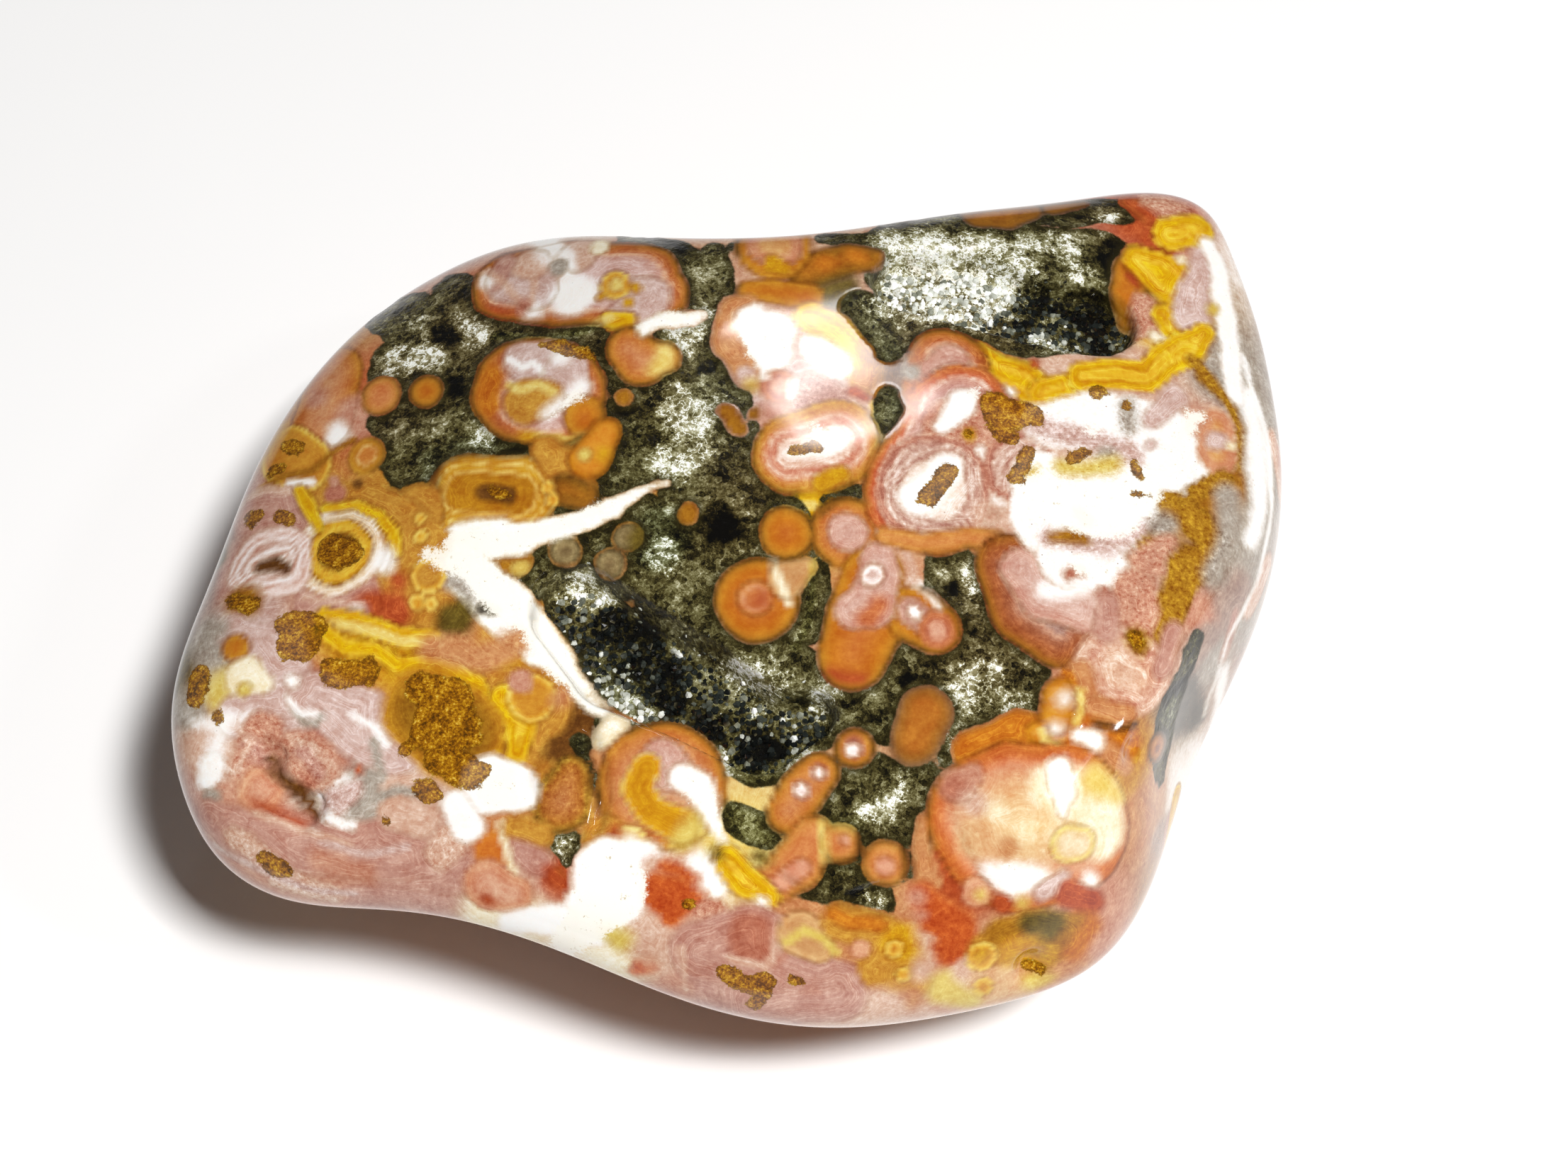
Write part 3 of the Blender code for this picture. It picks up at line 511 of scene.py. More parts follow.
        [(25.3, 2.9, 1.2), (24, 1.4, 1.2), (23.5, -0.3, 1.1), (22.9, -1, 0.75)],
    ]),
    ("soft ash", [[(23.5, 4.9, 0.77)], [(27.3, 6.4, 0.62), (27.3, 4.5, 0.69), (26.3, 2.2, 0.69)]]),
    ("grain pink", [
        [(22.5, 2.9, 0.91), (23.6, 3.8, 0.53)], [(21.7, 1.4, 0.98), (21.8, -0.1, 1.3), (21.1, -1.6, 1.3)],
    ]),
    ("blush rings", [[(20.6, -2.9, 2.4), (21.4, -3.2, 2.2)]]),
    ("round ochre", [[(21.7, -1.4, 0.75)]]),
    ("mauve field", [[(20.3, 0.6, 0.68), (20, -0.8, 0.75)], [(23.9, -1.2, 0.6), (23, -2.7, 0.6)]]),
    ("peach field", [[(18.5, -2.7, 0.52), (18.8, -4.3, 0.59), (19.9, -5.3, 0.67)]]),
    ("orange field", [[(17.8, -3.1, 0.41), (18.1, -3.6, 0.3)]]),
    ("peach field", [[(-6, -7.1, 0.96), (-5.6, -8.6, 0.96), (-5.8, -10.4, 0.88)]]),
    ("patch cream", [[(-5.8, -5.9, 0.74), (-6.4, -6.4, 0.59)]]),
    ("salmon orb", [[(-3.3, -8.9, 3.4)]]),
    ("lilac core", [[(-3.3, -7.7, 1.2), (-2.7, -8.2, 0.96)]]),
    ("gold crescent", [[(-4.1, -7.9, 0.74), (-4.6, -9, 0.81), (-3.8, -10.2, 0.81), (-2.3, -10.9, 0.88)]]),
    ("honey field", [[(-6.3, -11.5, 1.1), (-5.2, -12, 0.95)]]),
    ("soft straw", [[(-1.4, -10.7, 0.66), (-2.3, -11.8, 0.59)]]),
    ("glare", [[(-2.4, -8.4, 0.52), (-1.4, -9, 0.74), (-0.8, -10.4, 0.51), (-0.2, -11.5, 0.26)]]),
    ("straw ring", [[(-4.9, -11.9, 0.99)]]),
    ("line umber", [[(-8.8, -6.8, 0.37), (-7.8, -6.7, 0.45), (-7.1, -7.8, 0.26), (-6.7, -9.3, 0.22)]]),
    ("pear", [[(-8, -8.3, 0.96), (-8.5, -9.7, 1.6)]]),
    ("mauve field", [[(-10.2, -11.9, 0.96), (-9.6, -12.7, 0.88)]]),
    ("coral field", [[(-8.7, -13.6, 0.48), (-8.1, -14, 0.37)], [(-6.9, -13, 0.66), (-7.5, -13.9, 0.44)]]),
    ("honey field", [[(-11.1, -11.1, 0.59), (-9.3, -11.3, 0.66)]]),
    ("soft coral", [[(-9.1, -13.2, 0.37)], [(-5.6, -11.4, 0.44)]]),
    ("glare", [
        [(-5.6, -13.6, 2.2), (-4.5, -13.1, 1.5), (-6.7, -15.5, 1.7)],
        [(-11.3, -16.1, 0.55), (-8.5, -15.9, 0.96)], [(-1.4, -13, 0.51), (-0.4, -14.1, 0.51)],
        [(2, -14.9, 0.33)],
    ]),
    ("patch white", [[(-12.3, -8.8, 1.6), (-11, -9, 1.3)], [(-14.2, -9.7, 0.74), (-13.4, -11, 0.89)]]),
    ("grain lilac", [[(-20.6, -9.8, 0.74), (-19.5, -9, 0.52)]]),
    ("grain white", [[(-20.7, -10.5, 0.33), (-19.7, -10.9, 0.3)]]),
    ("soft blush", [[(-3.6, -13.1, 0.73)], [(-4.5, -16.9, 0.81)]]),
    ("soft straw", [[(-5.2, -16.9, 0.51), (-5.9, -16.2, 0.44)]]),
    ("flame", [
        [(-3.2, -14.4, 1.1), (-2.1, -14.5, 1), (-2.6, -15.4, 0.8)],
        [(-2.8, -13.1, 0.37), (-1.7, -13.5, 0.37)], [(-4.1, -18.1, 0.51), (-4.5, -18.5, 0.37)],
    ]),
    ("grain pink", [[(-0.8, -15.4, 0.88), (-0.4, -16.1, 0.88)]]),
    ("mauve field", [
        [(-1.4, -17.4, 1.6), (1.4, -17.2, 2.2), (3.9, -19.1, 2.4), (1.4, -19.9, 1.7), (5.8, -19.6, 1.8)],
    ]),
    ("soft rose", [[(1.4, -16.5, 1.2), (2.3, -17, 1)]]),
    ("line blush", [
        [(2.9, -15.6, 0.22), (2.7, -17.2, 0.22), (2.1, -18.3, 0.22)],
        [(-2.3, -17.2, 0.22), (-2, -19.4, 0.22)], [(0.3, -17.6, 0.22), (1.8, -18, 0.22)],
    ]),
    ("tan bulge", [[(3.9, -16.4, 1.2), (5, -17.2, 0.8)]]),
    ("line straw", [[(3.2, -16.8, 0.22), (4.1, -16.2, 0.22), (5.2, -16.7, 0.22), (5.8, -17.4, 0.22)]]),
    ("honey field", [[(5.8, -15.8, 0.95), (8, -16.5, 1.2), (8.4, -18.5, 1.3), (9.9, -19.3, 0.96)]]),
    ("orange field", [[(5.4, -15.4, 0.36), (6.5, -15.9, 0.4), (8, -15.9, 0.37)]]),
    ("soft gold", [[(9, -16.8, 0.95), (9.8, -17.8, 0.52)]]),
    ("blush orb", [[(7.1, -17.3, 0.55)]]),
    ("gold ring", [[(8.8, -17.3, 0.51)], [(9.3, -18.7, 0.44)]]),
    ("soft blush", [[(8, -20.2, 0.67), (10.7, -20.8, 0.9)], [(10.2, -18.5, 0.52)]]),
    ("orange field", [
        [(12.8, -6.9, 1.1), (15.4, -6.1, 1.3), (17.6, -6.3, 1.3), (19.8, -6.4, 1.3), (21.1, -6.8, 0.89)],
    ]),
    ("orb gloss", [[(17.4, -4.1, 0.92), (17.2, -5.3, 0.88)], [(16.3, -6.1, 0.66)]]),
    # The two small white spots on this raised glossy orb are painted highlights
    ("soft white", [[(17.7, -4.3, 0.33)], [(17.2, -5.8, 0.33)]]),
    ("line butter", [
        [(18.5, -4, 0.22), (18.6, -4.9, 0.22), (18.2, -5.6, 0.22)],
        [(16.5, -6, 0.22), (16.8, -6.7, 0.22), (17.4, -6.7, 0.22)],
    ]),
    ("peach field", [[(19.3, -4.9, 0.52), (21, -5.3, 0.52)], [(19.8, -7.1, 0.66), (21.1, -7.7, 0.59)]]),
    ("line umber", [[(19.3, -5.7, 0.22), (20.6, -5.9, 0.22), (21.4, -5.8, 0.22)]]),
    ("glare", [[(18.3, -6.3, 0.44), (19.3, -6.6, 0.52)]]),
    ("big orb", [[(13.5, -10.3, 3.1), (15.6, -11, 4.6), (17.1, -10.7, 4.1), (18.3, -11.5, 3.2)]]),
    ("patch pink", [[(12.1, -8.7, 0.95), (12.9, -8.2, 0.66)]]),
    ("soft rose", [[(12, -8.9, 0.73)]]),
    ("soft blush", [[(12.9, -9.6, 0.8)]]),
    ("soft tan", [[(12.9, -11.6, 0.95)]]),
    ("soft peach", [[(14.7, -12.1, 0.51)]]),
    ("soft cream", [[(16.8, -8.9, 1.2), (19.1, -9.6, 1.5), (19.9, -11.6, 1.3)], [(14.2, -10.1, 0.51)]]),
    ("glare", [[(17.3, -8, 0.66), (17.6, -9, 0.73), (17.4, -10.1, 0.33)]]),
    ("soft butter", [[(19.4, -8.5, 0.74), (20.5, -9.5, 0.52)]]),
    ("straw ring", [[(17.9, -11.9, 1.1), (18.4, -11.9, 1)]]),
    ("soft white", [[(13.8, -13.2, 0.51), (14.8, -13.8, 0.88), (16.1, -13.7, 0.66)], [(19.2, -14, 0.52)]]),
    ("lilac field", [[(16.5, -14.5, 0.52), (17.6, -13.9, 0.44)]]),
    ("coral field", [[(17.9, -14.6, 0.67), (19.3, -15.1, 0.67)], [(14.3, -15, 0.52)]]),
    ("soft coral", [[(18.9, -15.8, 0.67)]]),
    ("blush orb", [[(13, -14.4, 0.88)]]),
    ("soft straw", [[(13.1, -14.6, 0.29)], [(15.4, -14.9, 0.33)]]),
    ("flame", [[(10.2, -14.4, 0.73), (11.1, -15.9, 1.1), (12.1, -16.7, 1.1), (11.5, -17.6, 0.74)]]),
    ("soft pink", [[(9.9, -14.5, 0.44)], [(10.1, -15.5, 0.29)]]),
    ("patch coral", [[(11.7, -14.2, 0.48)]]),
    ("honey field", [[(14, -17.3, 1.3), (15.8, -16.6, 1.3), (17.8, -16.9, 1.3)]]),
    ("soft ochre", [[(14.3, -16.7, 0.96), (16.7, -17.9, 1.1), (18.5, -16.5, 0.82)]]),
    ("soft olive", [[(15.8, -16.2, 0.74), (17.3, -16.1, 0.74), (16.6, -17.1, 0.6)]]),
    ("soft gold", [[(15.1, -17.7, 0.97), (17.1, -17.9, 0.67)]]),
    ("soft orange", [[(19.5, -16.4, 0.6), (18.6, -17.9, 0.6)]]),
    ("soft peach", [[(17.9, -19, 0.53)]]),
    ("gold ring", [[(13.4, -17.9, 0.89)], [(13.6, -19.6, 0.56)]]),
    ("patch gold", [[(13.4, -17.9, 0.44)]]),
    ("soft straw", [
        [(16.2, -19.6, 0.6), (17.1, -19.4, 0.38)], [(11.2, -19, 0.59)],
        [(11.4, -19.8, 0.82), (12.9, -20.4, 0.67)],
    ]),
    ("soft peach", [[(9.9, -20.1, 0.59)]]),
    ("ring orb", [[(23.1, -7.1, 0.91)]]),
    ("peach field", [[(22.1, -9.9, 0.45), (22.9, -10.8, 0.61), (22.3, -12.3, 0.46)]]),
    ("soft grey_pink", [[(25.9, -1.5, 0.69), (25.3, -2.4, 0.46)]]),
    ("blush rings", [[(30.8, 9.8, 0.72), (31.4, 6.6, 0.8)], [(30.1, 2.6, 0.63), (28.9, 0.2, 0.55)]]),
    # The soft white and the white line along the right-hand ridge are painted highlights where the ridge
    # catches the light
    ("soft white", [
        [(29.4, 12.2, 0.64), (29.4, 7.3, 0.71), (28.8, 4.1, 0.47)],
        [(27.4, -3.3, 0.55), (27.6, -6.3, 0.48)],
    ]),
    ("mauve field", [[(27.8, -0.2, 0.47), (27.3, -2.5, 0.39)]]),
    ("line white", [
        [
            (29.2, 14.7, 0.2), (30.1, 10.6, 0.2), (30.2, 5.7, 0.2), (29.3, 1.8, 0.2), (27.5, -1.3, 0.19),
            (26.5, -5.7, 0.2),
        ],
    ]),
    ("line ash", [[(29.8, 13.1, 0.16), (31.4, 8.7, 0.16), (31.1, 3.8, 0.16), (29.3, -0.6, 0.16)]]),
)

# Layers that the material draws over and round the bodies
LAYERS = {
    "moss": [
        [(-25.1, 9.4, 0.48), (-24.4, 9.3, 0.48)], [(-25.8, 8, 0.4), (-25.3, 8.1, 0.44)],
        [(-26.5, 5.3, 0.51), (-26.1, 5.4, 0.43)], [(-24.7, 5.3, 0.59), (-24.3, 5.2, 0.55)],
        [(-21.5, 3.6, 0.85), (-20.7, 3.3, 0.85)], [(-26.8, 0.6, 0.46), (-25.9, 0.5, 0.46)],
        [(-23.6, -0.7, 0.91), (-22.4, -0.8, 0.91)], [(-23.6, -1.6, 0.76), (-22.5, -1.6, 0.83)],
        [(-20.9, -3.1, 0.83), (-19.2, -3.1, 0.83)], [(-16, -4, 0.97), (-14.4, -4.4, 1.1)],
        [(-15.4, -5.9, 1.4), (-14, -6.1, 1.2)], [(-16.9, -7, 0.52)],
        [(-15, -7.5, 0.82), (-13.9, -7.9, 0.89), (-13.2, -8.2, 0.82)], [(-15.6, -9.1, 0.71)],
        [(-28.3, -3.4, 0.65), (-28.4, -4.3, 0.57)], [(-27, -5.4, 0.41)],
        [(-24.4, -12.9, 0.52), (-23.4, -13.5, 0.6)], [(10.7, 6.2, 0.57), (11.8, 7.6, 0.61)],
        [(14.4, 11.4, 0.74), (15.3, 10.9, 0.97), (16.7, 10.8, 0.66)],
        [(14.9, 10.1, 0.54), (15.5, 9.6, 0.47)], [(16.2, 8.7, 0.46), (15.8, 7.6, 0.58), (16.1, 7.3, 0.35)],
        [(13.3, 9.8, 0.31)], [(18.8, 8.8, 0.46), (19.5, 9.1, 0.39)], [(21.7, -1.4, 0.52)],
        [(20.4, 12.2, 0.35), (20.8, 12.2, 0.35)], [(22.1, 11.5, 0.28)],
        [(22.2, 8.2, 0.31), (22.5, 7.5, 0.27)], [(22.1, 6.8, 0.15), (23.1, 6.5, 0.15)],
        [(3.8, 8.8, 0.35), (4.8, 9.2, 0.35)], [(3.6, -18.9, 0.29), (4.2, -19.1, 0.29)],
        [(0.3, -18.4, 0.62), (0.9, -19, 0.51), (1.9, -18.9, 0.73)], [(1.4, -19.9, 0.51), (2, -19.7, 0.37)],
        [(-1.7, -14.7, 0.37)], [(-10.6, 15.3, 0.28), (-9.3, 14.8, 0.48), (-7.8, 14.5, 0.39)],
        [(16, -18.5, 0.41), (16.7, -18.7, 0.38)], [(-13, 6.5, 0.35), (-12, 6.4, 0.35)],
        [(-17.6, -10.9, 0.26)],
    ],
    "matrix": [
        [(-20, 17.5, 1.5), (-16.7, 16.2, 2.5), (-15, 13.8, 2.6), (-15.3, 10.4, 2.5)],
        [(-19, 14.3, 1.8), (-17.9, 9.7, 2.4), (-16.5, 6.8, 1.3)],
        [(-16, 18.2, 1.8), (-12.4, 15.6, 1.6), (-6.7, 15.4, 1.7)],
        [
            (-5.8, 21.8, 0.99), (-3.6, 20, 1.8), (-1.7, 16.9, 2.5), (-2.1, 13.5, 2.6), (-2, 10.3, 2.9),
            (-0.6, 7.1, 3), (-1, 3.7, 3.2),
        ],
        [(-6.1, 11.9, 2.5), (-5.7, 8.7, 2.5), (-10.3, 8.4, 2.6), (-13.2, 10.4, 2.5)],
        [(-13.5, 13.3, 2), (-14.1, 16.4, 1.8)], [(-11.6, 3.3, 2.3), (-8.6, 3.3, 2.7), (-4.8, 3.7, 2.9)],
        [(-1.1, 20.5, 0.89), (-0.7, 19.3, 0.88), (-0.1, 18.4, 0.56)],
        [(0.4, 20.8, 0.49), (1.2, 20.8, 0.49)], [(5.3, 21.5, 0.49), (8.7, 21.3, 0.57)],
        [(7.9, 19, 0.56), (8.9, 18.5, 0.73), (9.4, 17.5, 0.48)],
        [(-8.1, 0.6, 1.9), (-5.5, -2.4, 2.5), (-1.5, -5, 2.5), (1.9, -6.8, 2.3), (4.7, -5.3, 1.9)],
        [(2.5, 4.4, 2.5), (4, 0.3, 1.9)], [(0.1, 11.9, 1.2), (0.9, 9.9, 0.77)],
        [(1.2, -2.7, 2.4), (3.6, -3.4, 2), (5.8, -4.9, 2)],
        [(8.8, -4.5, 2.4), (12.1, -4.3, 2.6), (14.2, -2.7, 2.7), (15.4, -4.9, 2.2), (13.1, -7.1, 2.2)],
        [(11.9, 2.5, 1.5), (13, 0.3, 2.3)], [(6.7, -9.3, 2.3), (9.4, -9.6, 2.3), (8.7, -11.8, 2)],
        [(5, -13.6, 1.5), (7.5, -14.6, 1.2)], [(2.1, -11.4, 0.95), (0.3, -10.4, 0.88)],
        [(9.5, 21, 1.8), (12.6, 19.5, 3.4), (16.6, 18.9, 3.8), (20.7, 18.6, 3.7), (22, 17.3, 2.4)],
        [(11, 22.6, 0.82), (16, 23.2, 0.91), (23.1, 23.5, 1)], [(8.1, 16.9, 1.2), (8.5, 15.2, 1.2)],
        [(7.4, 16.9, 1.4), (10.4, 16.4, 1.7), (13.9, 15.7, 1.7), (17.7, 15.4, 1.5), (21.5, 16, 1.6)],
        [(-8.1, -11.9, 0.88), (-8, -12.7, 0.44)],
        [(25.2, -1.4, 0.53), (24.3, -3.5, 0.83), (23.7, -5.4, 0.91), (23.4, -7.4, 1.1), (23.6, -9, 0.54)],
        [(8.9, 11.9, 0.86), (7.9, 8.7, 0.62), (8, 6.8, 0.69)], [(5.5, 6.2, 0.53), (7, 6.7, 0.46)],
        [(-2, -0.5, 3.2)], [(-7.6, -6.6, 0.59), (-6.7, -8.2, 0.3), (-6.5, -10, 0.22)], [(9.2, -1.4, 1.5)],
        [(-6.5, -5.5, 0.37), (-4.7, -5.6, 0.45)],
    ],
    "frost": [
        [(-2.9, 15.3, 1), (-1.7, 16.5, 0.79)], [(-3.4, 11.9, 0.86), (-2, 10.3, 1.3), (-1, 11.1, 1)],
        [(-2.8, 8.7, 1.4), (-1, 8.7, 0.54)], [(-3.2, 3.3, 0.91)], [(0.6, -3.1, 0.98), (2.5, -3.4, 0.82)],
        [(-6.1, -4.5, 0.91), (-3.6, -5.8, 0.68)], [(13.8, -3.2, 1.1), (12.5, -4.3, 0.74)],
        [(15.4, -4.9, 1.1)], [(11.7, -6.3, 0.74)], [(8, -10.1, 0.88), (9.1, -8.5, 0.51)],
        [(9.1, 20.8, 1.2), (11, 19.7, 2.4), (13.4, 19.3, 2.9), (15.9, 18.9, 2)],
        [(8.4, 17.3, 0.96), (10.9, 17.1, 1.2), (13.7, 17.1, 1.4)], [(19.2, 21.4, 0.65), (19.9, 19.7, 0.73)],
        [(21.8, 22.5, 0.66)], [(-8.1, -12.1, 0.66)], [(-19, 14.4, 1.1), (-16.9, 14.7, 0.81)],
        [(-15.4, 16.6, 0.57), (-14.1, 15.9, 0.48)], [(-0.5, -7.8, 1.1)], [(4, -7.5, 0.81)],
        [(13, 1.8, 0.53)], [(7.5, -14.8, 0.58)], [(5.8, -3.4, 0.67), (5.1, -5, 0.52)],
        [(-7.9, 1.4, 1), (-6.3, 0.6, 0.54)], [(17.3, 15.5, 0.72), (18.9, 14.9, 0.8)], [(-13.2, 9.7, 0.62)],
        [(15.8, 21.1, 0.57), (18.7, 21, 0.57)], [(1.5, -5, 0.38)], [(-18, 16.7, 0.49)], [(1.9, -0.8, 0.45)],
    ],
    "pitch": [
        [(-16.2, 16.2, 0.89)], [(-15.2, 18.2, 0.65)],
        [(-6.5, -0.5, 0.84), (-4.6, -1.3, 0.91), (-2.8, -4.1, 1.1)], [(1.3, -7.4, 0.82), (2.5, -7.2, 0.67)],
        [(13.7, -2.7, 0.37)], [(17.5, 18.3, 0.98), (17, 17.2, 0.81)],
        [(19.9, 17.7, 1.1), (20.9, 16.9, 1.4)], [(23, 22, 1.1), (22, 20.2, 0.82)], [(21, 14.9, 0.81)],
        [(0, 4.7, 0.91), (-0.4, 5.6, 0.76)], [(4, -4.6, 0.52)], [(12.6, -0.5, 0.52)], [(9.5, -3.4, 0.52)],
        [(23.1, -4.4, 0.6), (25, -3.6, 0.53)], [(15.9, 22, 0.65), (13, 22.3, 0.33)], [(-1.3, -6.1, 0.83)],
        [(-4, 12.1, 0.86), (-4.8, 12.7, 0.47)], [(-2.9, 21.1, 0.65), (-5.4, 22, 0.33)],
        [(-15.5, 12.7, 0.64)], [(-11.9, 8.8, 0.39), (-6.5, 10.3, 0.39)], [(-1.5, 13.6, 0.55)],
        [(7.8, -14.1, 0.29)], [(6.5, -9.3, 0.29)], [(11.9, 1.4, 0.45)],
    ],
    # The cream layer: white crusts, and in many places painted highlights where the polish mirrors the light
    "cream": [
        [(-14.7, 3.8, 0.69), (-12.4, 3.7, 0.76), (-9.4, 4.6, 0.53), (-6.3, 5.9, 0.34)],
        [
            (-16.2, 3.2, 0.46), (-14.3, 2.7, 0.99), (-12.1, 1, 1.1), (-10.5, -0.7, 0.9), (-8.8, -2.7, 0.75),
            (-7, -4.6, 0.49),
        ],
        [(-11.8, -9, 1.3)], [(-5.5, -14, 1.8), (-8.5, -17.5, 0.95)],
        [(-1.8, -8.7, 0.48), (-0.8, -10.2, 0.4), (-0.2, -11.6, 0.15)], [(2, 15.1, 1.3)],
        [(5.2, 14.4, 0.79)], [(-8.4, 12.1, 0.47), (-9.7, 11.2, 0.27)],
        [(17.4, 6.4, 1.4), (20.4, 5.4, 1.5), (22.5, 6.8, 1.3)], [(24.5, 8.8, 0.94), (25.7, 10.9, 0.63)],
        [(20, 10.4, 0.55)], [(19.1, 2.5, 0.76), (20.6, 2.2, 0.38)], [(17.5, -8.5, 0.66)],
        [(28.4, 16.9, 0.49), (28.5, 13.4, 0.4)],
        [(9.9, 20.3, 0.28), (11.4, 19.5, 0.41), (13.4, 19.2, 0.41), (15, 19.7, 0.33)],
        [(14.6, 18, 0.24), (16.6, 18.9, 0.28)], [(12.1, 21, 0.2), (14.6, 21.1, 0.2)], [(-5.9, -5.9, 0.37)],
        [(-3.1, 16.5, 0.48)], [(14.6, -13.6, 0.66)], [(4.8, 10, 0.39)], [(13.4, 11.9, 0.47)],
    ],
}

# Ground tints by place, as (across, up, reach)
TINTS = {
    "blush": [
        (-27.2, -6.9, 1.7), (-17.2, -9, 1.1), (5.6, 12.5, 1), (22.5, 12, 1.6), (14.3, 4.8, 1.3),
        (20.7, 9.6, 1.2), (23.1, -1.2, 0.97), (-10.4, -12.9, 1.1), (-3.4, -16.5, 1.3), (8, -20, 1.1),
        (-2.6, -12.7, 0.95), (11.6, -19.8, 1.1),
    ],
    "pink": [
        (-25.9, -9.6, 1.6), (-23.6, -6.5, 1.3), (-21.8, -14.3, 1.5), (-10.4, 16.4, 1.2), (3.2, 11.9, 1),
        (26.4, 9.4, 1.3), (25.1, -0.1, 0.91), (-2.7, -19.9, 1), (19.6, -17, 1.3),
    ],
    "rose": [(-20.9, -6.6, 1.9), (-18.8, 0.6, 1.7)],
    "ash": [
        (-18.9, -8.8, 1.5), (-27.8, -1.5, 1), (-28.6, -5.4, 0.98), (10.1, 13.6, 0.94), (28.7, 13, 1.2),
        (27.5, 4.1, 1), (29.7, 6.5, 1.6), (30.6, 10.2, 1.4), (29, -0.2, 1.1), (29.4, 3, 1.3),
        (26.6, -2.5, 0.77),
    ],
    "mauve": [
        (-17.2, -14.9, 1.9), (-28.1, -9.5, 1.4), (-14.1, -13, 1), (-27.2, 2.6, 1.3), (-26.6, 6.6, 0.87),
        (-0.1, -19.5, 1.2),
    ],
    "white": [(-21.2, -9, 1.1), (-18.8, 3.7, 0.77), (-1.2, -13, 0.8)],
    "lilac": [(-26.3, -0.5, 1), (1.3, 12.7, 0.86)],
    "olive": [(-30.3, -3.2, 1), (-28.6, 3.2, 0.72), (-14.6, 0.6, 1.3), (-11.1, 8, 0.93)],
    "straw": [(-26.6, -4.5, 0.98)],
    "grey_pink": [
        (-29.4, 1, 1.2), (-28.4, 4.8, 0.89), (25.6, -1.3, 0.76), (27.7, 0.6, 1.3), (23.9, -12.2, 0.62),
    ],
    "peach": [
        (-14.5, -1.4, 1.7), (-5.8, 13.6, 1), (13.1, 3.7, 0.99), (-6.1, -6.4, 0.67), (6.1, -16.9, 1.2),
        (4.7, -15.4, 0.95), (17.9, -19.1, 1.3), (22.5, -10.7, 0.99),
    ],
    "honey": [
        (-10.5, -7.1, 1.3), (-18.2, 6.8, 1), (-10.3, 8.8, 1.4), (-8.8, 9.5, 1), (-4.5, -11.4, 1.2),
        (-9.7, -11.5, 0.88), (21.3, -7.9, 0.82),
    ],
    "umber": [(-8.3, -6, 1.1), (-6.8, -5.3, 0.89), (-7.2, -6.8, 0.74)],
    "gold": [(-17.1, -2, 1.4), (-19.8, -1.2, 1.1), (-12.9, -2.4, 1.5), (-24.6, 6.9, 1)],
    "salmon": [
        (-21.2, 11.6, 1.2), (-13.8, 17.2, 1.1), (3.2, 6.8, 0.92), (13.5, 15.3, 0.79), (14.1, 0.6, 0.98),
    ],
    "coral": [
        (-7, 14.4, 1), (10.7, 15.2, 0.71), (24.4, 23.8, 1.1), (-8.9, -13.3, 0.81), (12.4, -13.6, 0.73),
    ],
    "ochre": [(-6.8, 8.3, 1), (26, 6.4, 1.3), (27.6, 7.2, 1), (5.8, -13.9, 0.8)],
    "mustard": [(4, 6.2, 0.76), (24.6, 16.7, 0.89)],
    "orange": [(-11.9, -12.2, 0.81)],
    "butter": [(-0.1, -12.2, 0.95)],
    "cream": [(-5.2, -17.7, 0.96), (-11.9, -15.6, 1.1)],
    "tan": [(14.1, -19.9, 1.1)],
    "slate": [(24.8, -5.1, 0.77), (25.9, -5.7, 0.55)],
}

